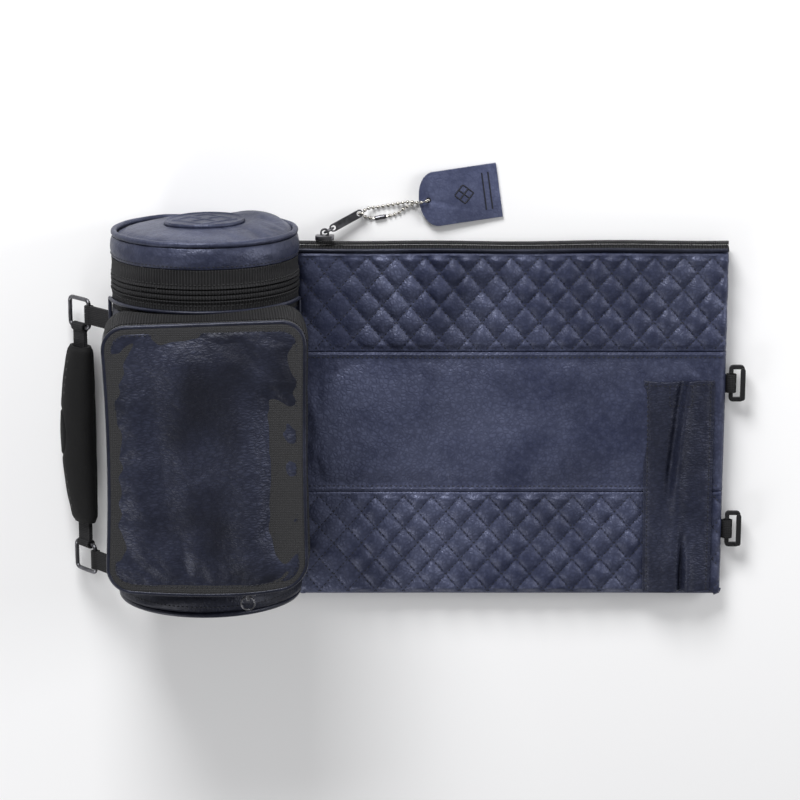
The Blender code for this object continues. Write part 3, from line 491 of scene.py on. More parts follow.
def rod(points, radius, closed=False, sides=8, swell=None):
    """A round rod along a path. swell gives each point's share of the radius."""
    curve = bpy.data.curves.new("rod", "CURVE")
    curve.dimensions = "3D"
    curve.bevel_depth = radius
    curve.bevel_resolution = (sides - 4) // 2
    curve.use_fill_caps = not closed
    spline = curve.splines.new("POLY")
    spline.points.add(len(points) - 1)
    for i, point in enumerate(points):
        spline.points[i].co = (*point, 1)
        spline.points[i].radius = swell[i] if swell else 1.0
    spline.use_cyclic_u = closed
    guide = bpy.data.objects.new("rod", curve)
    bpy.context.scene.collection.objects.link(guide)
    graph = bpy.context.evaluated_depsgraph_get()
    mesh = bpy.data.meshes.new_from_object(guide.evaluated_get(graph))
    shape = bmesh.new()
    shape.from_mesh(mesh)
    bmesh.ops.remove_doubles(shape, verts=shape.verts, dist=1e-6)
    bmesh.ops.recalc_face_normals(shape, faces=shape.faces)
    bpy.data.objects.remove(guide)
    bpy.data.curves.remove(curve)
    bpy.data.meshes.remove(mesh)
    return shape


def even(points, pitch, closed=False):
    """Points a pitch apart along a path."""
    path = [Vector(point) for point in points]
    if closed:
        path.append(path[0])
    length = sum((b - a).length for a, b in zip(path, path[1:]))
    count = max(2, round(length / pitch))
    step = length / count
    spots, walked, due = [], 0.0, 0.0
    for a, b in zip(path, path[1:]):
        run = (b - a).length
        while due <= walked + run + 1e-9 and len(spots) < count + 1:
            share = (due - walked) / run if run else 0
            spots.append(a.lerp(b, share))
            due += step
        walked += run
    return spots[:-1] if closed else spots


def coil(points, radius, pitch, closed=False):
    """A zip's coil: a rod with a ridge at every pitch."""
    spots = even(points, pitch / 3, closed)
    swell = [(1.0, 0.93, 0.74)[i % 3] for i in range(len(spots))]
    return rod(spots, radius, closed, 8, swell)


def add_to(shape, part):
    """Adds one bmesh to another."""
    mesh = bpy.data.meshes.new("part")
    part.to_mesh(mesh)
    part.free()
    shape.from_mesh(mesh)
    bpy.data.meshes.remove(mesh)


def stitching(name, body, finish, target, runs, toward, thick=1.0):
    """Rows of stitches laid on a piece. Each run is a path beside it, and toward the way onto it."""
    graph = bpy.context.evaluated_depsgraph_get()
    surface = BVHTree.FromObject(target, graph)
    shape = bmesh.new()
    half = sizes().stitch_length / 2
    radius = sizes().thread_radius * thick
    for run in runs:
        spots = even(run, sizes().stitch_pitch)
        row = bmesh.new()
        for a, b in zip(spots, spots[1:]):
            middle = (a + b) / 2
            way = toward(middle)
            hit, normal, _, _ = surface.ray_cast(middle - way * 0.02, way, 0.05)
            if hit is None:
                continue
            along = (b - a).normalized()
            across = normal.cross(along).normalized()
            along = across.cross(normal)
            turn = Matrix((along, across, normal)).transposed().to_4x4()
            place = Matrix.Translation(hit + normal * radius * 0.25) @ turn
            stretch = Matrix.Diagonal((half, radius, radius, 1))
            bmesh.ops.create_uvsphere(
                row, u_segments=6, v_segments=4, radius=1, matrix=place @ stretch
            )
        add_to(shape, row)
    return piece(name, shape, body, finish)


def refined(node, finish, break_edge=0.0003, rounds=0):
    """A hard part's own shape with its facets joined and its edges broken."""
    shape = bmesh.new()
    shape.from_mesh(frame["nodes"][node].data)
    bmesh.ops.remove_doubles(shape, verts=shape.verts, dist=1e-6)
    if rounds:
        return piece(f"{node}_finished", shape, BODY_OF[node], finish, [node], rounds=rounds)
    bmesh.ops.dissolve_limit(
        shape, angle_limit=math.radians(2), verts=shape.verts, edges=shape.edges
    )
    corners = [
        edge
        for edge in shape.edges
        if len(edge.link_faces) == 2 and edge.calc_face_angle() > math.radians(38)
    ]
    bmesh.ops.bevel(
        shape, geom=corners, offset=break_edge, segments=2, profile=0.5,
        affect="EDGES", material=-1, clamp_overlap=True,
    )
    return piece(f"{node}_finished", shape, BODY_OF[node], finish, [node])


def ease(value, start, end):
    """0 before start and 1 after end, eased between them."""
    share = min(max((value - start) / (end - start), 0.0), 1.0)
    return share * share * (3 - 2 * share)


def hump(value, centre, width):
    return math.exp(-(((value - centre) / width) ** 2))


def lumps(point, scale, seed=0.0):
    """Soft unevenness between about -1 and 1."""
    return noise.noise(Vector(point) * scale + Vector((seed, seed * 1.7, -seed)))


def down(_):
    return Vector((0, 0, -1))


def up(_):
    return Vector((0, 0, 1))


def closed_pad(shape, drop):
    """Gives an open sheet an underside, moved by drop."""
    made = bmesh.ops.extrude_face_region(shape, geom=shape.faces[:], use_keep_orig=True)
    verts = [item for item in made["geom"] if isinstance(item, bmesh.types.BMVert)]
    bmesh.ops.translate(shape, vec=drop, verts=verts)
    bmesh.ops.recalc_face_normals(shape, faces=shape.faces)


PUFF_STEPS = 20


def filled(shape, held, cap, pressure=4.0, slack=0.012):
    """Fills a closed pad with the cloth solver. Held points stay, and none goes further than cap."""
    mesh = bpy.data.meshes.new("pad")
    shape.to_mesh(mesh)
    obj = bpy.data.objects.new("pad", mesh)
    bpy.context.scene.collection.objects.link(obj)
    group = obj.vertex_groups.new(name="held")
    shape.verts.index_update()
    group.add([vert.index for vert in shape.verts if held(vert.co)], 1.0, "ADD")
    cloth = obj.modifiers.new("filling", "CLOTH")
    cloth.settings.quality = 6
    cloth.settings.use_pressure = True
    cloth.settings.uniform_pressure_force = pressure
    cloth.settings.shrink_min = -slack
    cloth.settings.vertex_group_mass = "held"
    cloth.settings.effector_weights.gravity = 0
    cloth.point_cache.frame_start = 1
    cloth.point_cache.frame_end = PUFF_STEPS
    for step in range(1, PUFF_STEPS + 1):
        bpy.context.scene.frame_set(step)
    graph = bpy.context.evaluated_depsgraph_get()
    moved = obj.evaluated_get(graph).data.vertices
    for vert, after in zip(shape.verts, moved):
        shift = after.co - vert.co
        if shift.length > cap:
            shift *= cap / shift.length
        vert.co += shift
    bpy.data.objects.remove(obj)
    bpy.data.meshes.remove(mesh)
    bpy.context.scene.frame_set(1)


# Barrel


def barrel_spot(turn, y, proud=0.0):
    """A point on the barrel, turn radians from +X towards +Z, standing proud of its surface."""
    radius = BARREL_RADIUS + proud
    floor = BARREL_AXIS_Z + min(proud, 0.0)
    sink = -math.sin(turn) * radius
    if sink > floor:
        radius *= floor / sink
    return Vector((radius * math.cos(turn), y, BARREL_AXIS_Z + radius * math.sin(turn)))


def from_axis(point):
    return Vector((point.x, 0, point.z - BARREL_AXIS_Z))


def to_axis(point):
    return -from_axis(point).normalized()


def barrel_band(low_y, high_y, rows, proud, columns=168):
    """A band of skin round the barrel. proud(turn, share) is how far it stands off the surface."""
    def place(u, v):
        turn = math.tau * u - math.pi / 2
        return barrel_spot(turn, low_y + (high_y - low_y) * v, proud(turn, v))

    size = (math.tau * BARREL_RADIUS, high_y - low_y)
    shape = sheet(columns, rows, place, size)
    bmesh.ops.remove_doubles(shape, verts=shape.verts, dist=1e-6)
    outward(shape, from_axis)
    return shape


def barrel_ring(y, proud, steps=120):
    """A path round the barrel."""
    return [barrel_spot(math.tau * i / steps, y, proud) for i in range(steps)]


def barrel_disc(place, shares, columns=120):
    """A round sheet, spun from a line of points and laid out by place(share, turn)."""
    shape = bmesh.new()
    spots = [shape.verts.new((share, 0, 0)) for share in shares]
    line = [shape.edges.new(pair) for pair in zip(spots, spots[1:])]
    bmesh.ops.spin(
        shape, geom=spots + line, cent=(0, 0, 0), axis=(0, 0, 1),
        angle=math.tau, steps=columns, use_merge=True,
    )
    bmesh.ops.remove_doubles(shape, verts=shape.verts, dist=1e-6)
    for vert in shape.verts:
        vert.co = place(vert.co.xy.length, math.atan2(vert.co.y, vert.co.x))
    return shape


def across_barrel(share, turn, inset):
    """A point of the barrel's section: share of the way from its axis to inset from its edge."""
    edge = barrel_spot(turn, 0, -inset)
    return edge.x * share, BARREL_AXIS_Z + (edge.z - BARREL_AXIS_Z) * share


def skin_sag(turn, share):
    """The barrel's leather is a little uneven, and gathers in folds near the base."""
    point = (math.cos(turn), math.sin(turn), share * 3)
    folds = math.sin(share * 95 + 2 * math.sin(turn * 3)) * hump(share, 0.04, 0.07)
    return 0.0009 * lumps(point, 2.2) + 0.0008 * folds - 0.0004


def make_barrel():
    shape = barrel_band(SHELL_LOW_Y, SHELL_TOP_Y, 110, skin_sag, 150)
    body = piece("barrel_skin", shape, "case", "bag_leather_painted_shade", ["case_shell"], wall=0.0012)
    thickness = SHELL_LOW_Y - GAP - BASE_Y

    def place(share, turn):
        x, z = across_barrel(share, turn, 0.0037)
        dish = 0.0022 * (1 - share**4) + 0.0006 * lumps((x, z, 0), 45)
        return Vector((x, BASE_Y + thickness * 0.25 - dish, z))

    shares = [0] + [i / 22 for i in range(1, 23)]
    shape = barrel_disc(place, shares)
    outward(shape, lambda point: Vector((0, -1, 0)))
    piece("base_skin", shape, "case", "bag_leather_painted_shade", ["case_base_panel"], wall=0.0016)
    middle = (low("case_base_piping").y + high("case_base_piping").y) / 2
    shape = rod(barrel_ring(middle, -0.0018), 0.0017, True, 10)
    piece("base_piping_cord", shape, "case", "piping", ["case_base_piping"])
    rows = [[spot for spot in barrel_ring(SHELL_LOW_Y + 0.0035, 0.004)]]
    stitching("base_stitches", "case", "thread", body, rows, to_axis)
    for node, finish in (
        ("case_lining", "lining"),
        ("case_base_board", "board"),
        ("case_hinge_strip", "webbing"),
        ("lid_hinge_strip", "webbing"),
        ("lid_pad", "lining"),
        ("pouch_lining", "lining"),
    ):
        finish_node(node, finish)


def finish_node(node, finish):
    """Gives a node that stays its finish."""
    obj = frame["nodes"][node]
    obj.data.materials.clear()
    obj.data.materials.append(look(finish))


# Lid


def lid_height(x, z):
    """How far the lid's padded top stands over its rim: higher and plumper on one side."""
    reach = min(math.hypot(x, z - BARREL_AXIS_Z) / BARREL_RADIUS, 1.0)
    dome = 0.0040 * (1 - reach**3.2)
    slump = sizes().lid_slump
    right = slump * hump(x, 0.034, 0.024) * hump(z, 0.024, 0.034) * (1 - 0.55 * reach**8)
    left = -0.55 * slump * hump(x, -0.046, 0.026) * (1 - reach**6)
    crease = -0.0034 * hump(z - 0.88 * x, 0.050, 0.007) * ease(x, 0.026, 0.044)
    dent = -0.0018 * hump(x, 0.006, 0.022) * hump(z, 0.090, 0.012)
    round_patch = ease(math.hypot(x, z - BARREL_AXIS_Z), 0.024, 0.038)
    return dome + left + (right + (crease + dent) * (1 - reach**10)) * round_patch


def band_sag(turn, share):
    """The lid's band pulls in under the rim and creases a little near its sides."""
    pulled = 0.0012 * math.sin(math.pi * share) - 0.0006 * share
    puckers = 0.0005 * lumps((math.cos(turn) * 2, math.sin(turn) * 2, share), 3.0)
    return pulled + puckers - 0.0004


def make_lid():
    bottom, top = low("lid_band").y, high("lid_band").y
    shape = barrel_band(bottom, top, 22, band_sag)
    band = piece("lid_band_skin", shape, "lid", "lid_leather", ["lid_band"], wall=0.0014)
    rows = [barrel_ring(bottom + 0.0018, 0.004)]
    stitching("lid_band_stitches", "lid", "thread", band, rows, to_axis)
    base = low("lid_top").y

    def place(share, turn):
        x, z = across_barrel(min(share, 1.0), turn, 0.0037)
        lift = lid_height(x, z) + 0.0016 * (1 - share**14)
        return Vector((x, base + lift, z))

    shares = [0] + [1 - (1 - i / 26) ** 1.25 for i in range(1, 27)]
    shape = barrel_disc(place, shares)
    closed_pad(shape, (0, -0.0030, 0))
    rest = {vert: vert.co.copy() for vert in shape.verts}

    def held(point):
        edge = math.hypot(point.x, point.z - BARREL_AXIS_Z) > BARREL_RADIUS - 0.0075
        return edge or point.y < base - 0.0005 or point.z < 0.006

    filled(shape, held, 0.0016, slack=0.010)
    under = [vert for vert in shape.verts if vert.co.y < base - 0.0005]
    for vert in under:
        vert.co.y = max(rest[vert].y, base - 0.0029)
    crown = piece("lid_top_skin", shape, "lid", "lid_leather", ["lid_top"], rounds=1)
    middle = (low("lid_piping").y + high("lid_piping").y) / 2
    path = [
        spot + Vector((0, 0.0004 * lumps(spot, 70), 0)) for spot in barrel_ring(middle, -0.0019)
    ]
    shape = rod(path, 0.0019, True, 10)
    piece("lid_rim_cord", shape, "lid", "lid_leather", ["lid_piping"])
    make_emblem(crown)


def diamond(u, v, half):
    """Distance from a diamond's outline, with its corners half from its middle."""
    return abs(abs(u) + abs(v) - half) * 0.707


def lattice_mark(u, v, size):
    """Depth, from 0 to 1, of a plain mark: four small quilted diamonds set in one large one."""
    lines = [diamond(u, v, size)]
    for du, dv in ((0.5, 0), (-0.5, 0), (0, 0.5), (0, -0.5)):
        lines.append(diamond(u - du * size, v - dv * size, size * 0.5))
    return 1 - ease(min(lines), size * 0.03, size * 0.085)


def make_emblem(crown):
    """A round patch on the lid's top, with a raised rim and a plain pressed mark."""
    graph = bpy.context.evaluated_depsgraph_get()
    ground = BVHTree.FromObject(crown, graph)
    radius = (high("lid_emblem").x - low("lid_emblem").x) / 2
    centre = (low("lid_emblem") + high("lid_emblem")) / 2

    def place(share, turn):
        u, v = math.cos(turn) * share * radius, math.sin(turn) * share * radius
        spot = centre + Vector((u, 0, v))
        hit, _, _, _ = ground.ray_cast(spot + Vector((0, 0.03, 0)), Vector((0, -1, 0)), 0.06)
        rim = 0.0010 * hump(share, 0.955, 0.040)
        mark = 0.0007 * lattice_mark(u, v, radius * 0.74) * ease(share, 0.88, 0.80)
        roll = -0.0014 * ease(share, 0.975, 1.0)
        return Vector((spot.x, hit.y + 0.0013 + rim + mark + roll, spot.z))

    shares = [0] + [i / 60 for i in range(1, 61)]
    shape = barrel_disc(place, shares, 180)
    outward(shape, lambda point: Vector((0, 1, 0)))
    piece("lid_patch", shape, "lid", "lid_leather", ["lid_emblem"], wall=0.0009)


# Lid zip


def tape_profile(hem_at_top):
    """A ribbed tape whose edge by the coil is folded into a low hem."""
    def proud(turn, share):
        from_hem = 1 - share if hem_at_top else share
        hem = 0.0009 * hump(from_hem, 0.07, 0.055)
        wave = 0.0004 * lumps((math.cos(turn), math.sin(turn), share), 2.5)
        return hem + wave - 0.0002
    return proud


def coil_profile(turn, share):
    """Half of the coil's cover: a rounded lip, lowest where the two halves meet."""
    return 0.0007 * math.sin(math.pi * share) ** 0.6 - 0.0002


def make_lid_zip():
    for body, tape, teeth, hem in (
        ("case", "case_zip_tape", "case_zip_coil", True),
        ("lid", "lid_zip_tape", "lid_zip_coil", False),
    ):
        shape = barrel_band(low(tape).y, high(tape).y, 20, tape_profile(hem), 220)
        band = piece(f"{tape}_cloth", shape, body, "tape", [tape], wall=0.0010)
        edge = high(tape).y - 0.0030 if hem else low(tape).y + 0.0030
        rows = [barrel_ring(edge, 0.004)]
        stitching(f"{tape}_stitches", body, "black_thread", band, rows, to_axis)
        shape = barrel_band(low(teeth).y, high(teeth).y, 10, coil_profile, 220)
        piece(f"{teeth}_cloth", shape, body, "tape", [teeth], wall=0.0010)
    refined("lid_slider", "gunmetal")
    refined("lid_pull", "gunmetal", 0.0002)


# Pocket


def square_spot(u):
    """A point round the edge of the square from -1 to 1: bottom, right, top, then left."""
    side = min(int(u * 4), 3)
    share = (u * 4 - side) * 2 - 1
    return ((share, -1), (1, share), (-share, 1), (-1, -share))[side]


def rounded_spot(s, t, half_x, half_y, corner):
    """Where s and t, from -1 to 1, land on a rectangle with round corners."""
    x, y = s * half_x, t * half_y
    dx = max(abs(x) - (half_x - corner), 0.0)
    dy = max(abs(y) - (half_y - corner), 0.0)
    if dx and dy:
        pull = max(dx, dy) / math.hypot(dx, dy)
        x = math.copysign(half_x - corner + dx * pull, x)
        y = math.copysign(half_y - corner + dy * pull, y)
    return x, y


def pocket_spot(s, t, inset=0.0):
    """A point of the pocket's front: it bows in at the left and hangs lowest at the middle."""
    half_x, half_y = POCKET_HALF.x - inset, POCKET_HALF.y - inset
    x, y = rounded_spot(s, t, half_x, half_y, POCKET_CORNER - inset)
    a, b = x / half_x, y / half_y
    x += 0.0030 * (1 - b * b) * max(-a, 0.0) - 0.0012 * (1 - b * b) * max(a, 0.0)
    y += 0.0022 * a * max(b, 0.0)
    y -= (0.0032 * (1 - a * a) - 0.0046 * max(a, 0.0) ** 3) * max(-b, 0.0)
    return POCKET_CENTRE.x + x, POCKET_CENTRE.y + y


def pocket_ring(inset, z, start=0.0, end=1.0, steps=240):
    """A path round the pocket's front."""
    path = []
    for i in range(steps + (end < 1)):
        u = start + (end - start) * i / steps
        path.append(Vector((*pocket_spot(*square_spot(u % 1.0), inset), z)))
    return path


def gusset_wall(start, end, columns, bulge):
    """Part of the gusset, from the barrel up to the zip, swelling a little on its way."""
    rise = POCKET_HIGH.z - POCKET_FLOOR_Z
    narrow = 2 * BARREL_RADIUS / (2 * POCKET_HALF.x)

    def place(u, v):
        s, t = square_spot(min(start + (end - start) * u, 0.99999))
        x, y = pocket_spot(s, t)
        lean = POCKET_CENTRE.x
        foot = (x - lean) * narrow
        curve = max(BARREL_RADIUS**2 - foot**2, 0.0)
        floor = max(POCKET_FLOOR_Z, BARREL_AXIS_Z + math.sqrt(curve) + GAP)
        z = floor + (POCKET_HIGH.z - floor) * v
        share = (z - POCKET_FLOOR_Z) / rise
        x = (x - lean) * (narrow + (1 - narrow) * share) + lean * share
        out = Vector((s if abs(s) > 0.9 else 0, t if abs(t) > 0.9 else 0)).normalized()
        swell = bulge * math.sin(math.pi * v) * min(1.0, (POCKET_HIGH.z - floor) / 0.03)
        swell += 0.0006 * lumps((x, y, z), 60) * math.sin(math.pi * v)
        swell *= 1 - 0.9 * ease(-t, 0.86, 0.96)  # drawn tight where the round pull hangs
        return Vector((x + out.x * swell, y + out.y * swell, z))

    shape = sheet(columns, 26, place, (0.55 * (end - start), rise))
    centre = POCKET_CENTRE
    outward(shape, lambda point: Vector((point.x - centre.x, point.y - centre.y, 0)))
    return shape


def pocket_relief(a, b):
    """Folds of the soft front, in metres: two long valleys down it and a slack lower corner."""
    right = -0.0046 * hump(a, 0.68 - 0.08 * b, 0.14) * ease(b, 0.80, 0.15) * ease(b, -0.97, -0.6)
    ridge = 0.0016 * hump(a, 0.38 - 0.08 * b, 0.17) * ease(b, 0.8, 0.2)
    left = -0.0036 * hump(a, -0.46 - 0.14 * b, 0.18) * ease(b, 0.95, 0.55) * ease(b, -1.0, -0.5)
    corner = 0.0014 * hump(a, -0.40, 0.14) * hump(b, -0.80, 0.22)
    nook = -0.0016 * hump(a, -0.22, 0.07) * hump(b, -0.85, 0.22)
    soft = 0.0006 * lumps((a, b, 0), 2.6)
    return right + ridge + left + corner + nook + soft


def make_pocket():
    shape = gusset_wall(0.0, 0.76, 190, 0.0030)
    stands = ["pocket_gusset"]
    piece("pocket_gusset_cloth", shape, "case", "tape", stands, wall=0.0014)
    shape = gusset_wall(0.76, 1.0, 70, 0.0024)
    piece("pocket_gusset_leather", shape, "case", "bag_leather_painted_shade", stands, wall=0.0014)
    wire = 0.0012
    rear_y = POCKET_HALF.y + GAP + wire
    over = [math.radians(10 + 160 * i / 48) for i in range(49)]
    lower = [barrel_spot(a, POCKET_CENTRE.y - rear_y, GAP + wire) for a in over]
    upper = [barrel_spot(a, POCKET_CENTRE.y + rear_y, GAP + wire) for a in reversed(over)]
    shape = rod(even(lower + upper, 0.003, True), wire, True, 10)
    piece("pocket_rear_cord", shape, "case", "piping", ["pocket_rear_piping"])
    coil_z = (low("pocket_zip_coil").z + high("pocket_zip_coil").z) / 2
    path = pocket_ring(0.0015, coil_z, 0.012, 0.745)
    shape = coil(path, 0.0013, 0.0017)
    piece("pocket_coil_ridged", shape, "case", "coil", ["pocket_zip_coil"])
    piping_z = (low("pocket_panel_piping").z + high("pocket_panel_piping").z) / 2
    path = pocket_ring(0.0012, piping_z)
    shape = rod(even(path, 0.002, True), 0.0013, True, 10)
    piece("pocket_front_cord", shape, "pocket_flap", "piping", ["pocket_panel_piping"])

    def place(u, v):
        x, y = pocket_spot(u * 2 - 1, v * 2 - 1, 0.0010)
        return Vector((x, y, piping_z + 0.0009))

    shape = sheet(48, 64, place, (2 * POCKET_HALF.x, 2 * POCKET_HALF.y))
    outward(shape, up)
    piece("pocket_front_lining", shape, "pocket_flap", "lining", wall=0.0008)
    make_pocket_front()
    refined("pocket_slider", "gunmetal")
    refined("pocket_pull", "gunmetal", rounds=1)


def make_pocket_front():
    """The padded front, filled by the cloth solver and then folded."""
    inset = 0.0018
    rest_z = PANEL_TOP_Z - 0.0016

    def place(u, v):
        s, t = u * 2 - 1, v * 2 - 1
        x, y = pocket_spot(s, t, inset)
        edge = min(1 - abs(s), (1 - abs(t)) * POCKET_HALF.y / POCKET_HALF.x)
        return Vector((x, y, rest_z - 0.0034 * (1 - ease(edge, 0.0, 0.055))))

    shape = sheet(58, 78, place, (2 * POCKET_HALF.x, 2 * POCKET_HALF.y))
    outward(shape, up)
    closed_pad(shape, (0, 0, -0.0016))
    half_x, half_y = POCKET_HALF.x - inset, POCKET_HALF.y - inset

    def shares(point):
        return (point.x - POCKET_CENTRE.x) / half_x, (point.y - POCKET_CENTRE.y) / half_y

    def held(point):
        a, b = shares(point)
        edge = abs(a) > 0.93 or abs(b) > 0.95
        return edge or point.z < rest_z - 0.0012

    before = {vert: vert.co.copy() for vert in shape.verts}
    filled(shape, held, sizes().pocket_crown)
    for vert in shape.verts:
        a, b = shares(before[vert])
        if before[vert].z > rest_z - 0.0012:
            crown = 0.0
            inside = ease(1 - abs(a), 0.03, 0.22) * ease(1 - abs(b), 0.03, 0.14)
            vert.co.z += crown + pocket_relief(a, b) * inside
    front = piece(
        "pocket_front_skin", shape, "pocket_flap", "pocket_leather", ["pocket_panel"], rounds=1
    )
    rows = [pocket_ring(0.0062, PANEL_TOP_Z)]
    rows[0].append(rows[0][0])
    stitching("pocket_front_stitches", "pocket_flap", "thread", front, rows, down)


# Handle

GRIP_LOW = low("handle_grip")
GRIP_HIGH = high("handle_grip")
HANG = math.radians(49)
HANG_WAY = Vector((-math.cos(HANG), 0, -math.sin(HANG)))
GRIP_FACE = HANG_WAY.cross(Vector((0, 1, 0))).normalized()
GRIP_BOW = 0.005


def grip_spot(turn, y, proud=0.0):
    """A point round the rolled grip, turn radians from its outer edge."""
    centre = (GRIP_LOW + GRIP_HIGH) / 2 + HANG_WAY * GRIP_BOW / 2
    half_length = (GRIP_HIGH.y - GRIP_LOW.y) / 2
    share = (y - centre.y) / half_length
    middle = Vector((centre.x, y, centre.z)) - HANG_WAY * GRIP_BOW * share**2
    across = HANG_WAY * math.cos(turn) * (0.014 + proud)
    return middle + across + GRIP_FACE * math.sin(turn) * (0.010 + proud)


def grip_slim(y):
    """How much thinner the roll is towards its ends."""
    middle_y = (GRIP_LOW.y + GRIP_HIGH.y) / 2
    share = abs(y - middle_y) * 2 / (GRIP_HIGH.y - GRIP_LOW.y)
    return -0.0036 * min(share, 1.0) ** 2.2


def make_handle():
    middle_y = (GRIP_LOW.y + GRIP_HIGH.y) / 2
    facing = math.radians(-48)

    def place(u, v):
        turn = math.tau * u
        y = GRIP_LOW.y + (GRIP_HIGH.y - GRIP_LOW.y) * v
        away = (turn - facing + math.pi) % math.tau - math.pi
        oval = math.hypot((y - middle_y) / 0.0155, away * 0.0125 / 0.0085)
        groove = -0.0007 * hump(oval, 1.0, 0.075) + 0.0003 * ease(oval, 1.0, 0.85)
        ends = -0.0012 * (hump(v, 0.0, 0.018) + hump(v, 1.0, 0.018))
        uneven = 0.0003 * lumps((math.cos(turn), math.sin(turn), v * 6), 1.5)
        seam = -0.0006 * hump(abs(away), math.pi * 0.86, 0.05)
        return grip_spot(turn, y, groove + ends + grip_slim(y) + uneven + seam)

    shape = sheet(112, 200, place, (0.08, GRIP_HIGH.y - GRIP_LOW.y))
    bmesh.ops.remove_doubles(shape, verts=shape.verts, dist=1e-6)
    centre = (GRIP_LOW + GRIP_HIGH) / 2
    outward(shape, lambda point: Vector((point.x - centre.x, 0, point.z - centre.z)))
    grip = piece("grip_roll", shape, "handle", "grip", ["handle_grip"], wall=0.0026)
    shape = bmesh.new()
    for start, step in ((GRIP_HIGH.y - 0.0105, -0.0052), (GRIP_LOW.y + 0.0105, 0.0052)):
        for i in range(5):
            y = start + step * i
            spot = grip_spot(math.radians(-78), y, grip_slim(y) - 0.0002)
            place = Matrix.Translation(spot) @ Matrix.Diagonal((0.0008, 0.0011, 0.0008, 1))
            bmesh.ops.create_uvsphere(shape, u_segments=10, v_segments=6, radius=1, matrix=place)
    piece("grip_stitches", shape, "handle", "black_thread")
    for node in ("upper_ring", "lower_ring"):
        refined(node, "gunmetal", rounds=1)
    for node in ("handle_strap", "upper_ring_tab", "lower_ring_tab"):
        refined(node, "webbing")


# Links between the bag and the pouch


def make_links():
    for place in ("upper", "lower"):
        refined(f"link_ring_{place}", "gunmetal", rounds=1)
        refined(f"link_tab_{place}", "webbing")
        refined(f"pouch_loop_{place}", "webbing")


# Pouch

SEAM_ROLL = 0.0055


def edge_roll(distance, reach=SEAM_ROLL):
    """How far a face turns down at that distance from its edge."""
    share = max(1 - distance / reach, 0.0)
    return (1 - math.sqrt(max(1 - share * share, 0.0))) * 0.0034


def pouch_face(x, y):
    """Height of the pouch's front without its quilting."""
    sides = min(x - POUCH_LOW.x, POUCH_HIGH.x - x)
    foot = y - POUCH_LOW.y
    roll = max(edge_roll(sides), edge_roll(foot))
    waves = 0.0007 * lumps((x, y, 0), 14) + 0.0003 * lumps((x, y, 0), 42, 3)
    return POUCH_TOP_Z - 0.0006 - roll + waves


def quilting(x, y, low_y, high_y, phase_x, phase_y):
    """Rise of the quilted diamonds between their lines of stitching."""
    a = (x - phase_x) / sizes().quilt_width
    b = (y - phase_y) / sizes().quilt_height
    puff = abs(math.sin(math.pi * (a + b))) * abs(math.sin(math.pi * (a - b)))
    under_sleeve = ease(x, SLEEVE_LOW.x - 0.008, SLEEVE_LOW.x + 0.004) * (y < SLEEVE_HIGH.y)
    beside_case = 1 - ease(x - POUCH_LOW.x, 0.022, 0.055)
    pressed = 1 - 0.5 * under_sleeve - 0.6 * beside_case
    seam = ease(min(y - low_y, high_y - y), 0.0012, 0.0050)
    uneven = 1 + 0.35 * lumps((x, y, 0), 65, 7)
    return sizes().quilt_puff * puff**0.62 * seam * uneven * pressed


def quilt_lines(low_y, high_y, phase_x, phase_y):
    """The slanting lines of stitching between two seams."""
    width, height = sizes().quilt_width, sizes().quilt_height
    runs = []
    span = (high_y - low_y) / height * width
    left, right = POUCH_LOW.x + 0.002, POUCH_HIGH.x - 0.002
    first = math.floor((left - span - phase_x) / width) - 1
    last = math.ceil((right + span - phase_x) / width) + 1
    for i in range(first, last + 1):
        for lean in (1, -1):
            ends = []
            for y in (low_y, high_y):
                ends.append(Vector((phase_x + width * (i + lean * (y - phase_y) / height), y, 0)))
            run = [p for p in even(ends, 0.001) if left < p.x < right]
            if len(run) > 4:
                runs.append([p + Vector((0, 0, POUCH_TOP_Z)) for p in run])
    return runs


def panel_sheet(low_y, high_y, columns, rows, rise):
    def place(u, v):
        x = POUCH_LOW.x + (POUCH_HIGH.x - POUCH_LOW.x) * u
        y = low_y + (high_y - low_y) * v
        return Vector((x, y, pouch_face(x, y) + rise(x, y)))

    shape = sheet(columns, rows, place, (POUCH_HIGH.x - POUCH_LOW.x, high_y - low_y))
    outward(shape, up)
    return shape


def make_quilts():
    for name, phase_x, phase_y in (
        ("pouch_upper_quilt", POUCH_LOW.x + 0.0087, high("pouch_upper_quilt").y - 0.0024),
        ("pouch_lower_quilt", POUCH_LOW.x + 0.0135, high("pouch_lower_quilt").y - 0.0030),
    ):
        low_y, high_y = low(name).y, high(name).y

        def rise(x, y):
            puff = quilting(x, y, low_y, high_y, phase_x, phase_y)
            return puff + 0.0010 * hump(high_y - y, 0.0016, 0.0011) - 0.0012

        shape = panel_sheet(low_y, high_y, 300, 74, rise)
        quilt = piece(f"{name}_puffed", shape, "pouch", "pouch_leather", [name], wall=0.0013)
        lines = quilt_lines(low_y + 0.0012, high_y - 0.0030, phase_x, phase_y)
        stitching(f"{name}_stitches", "pouch", "thread", quilt, lines, down, 0.9)


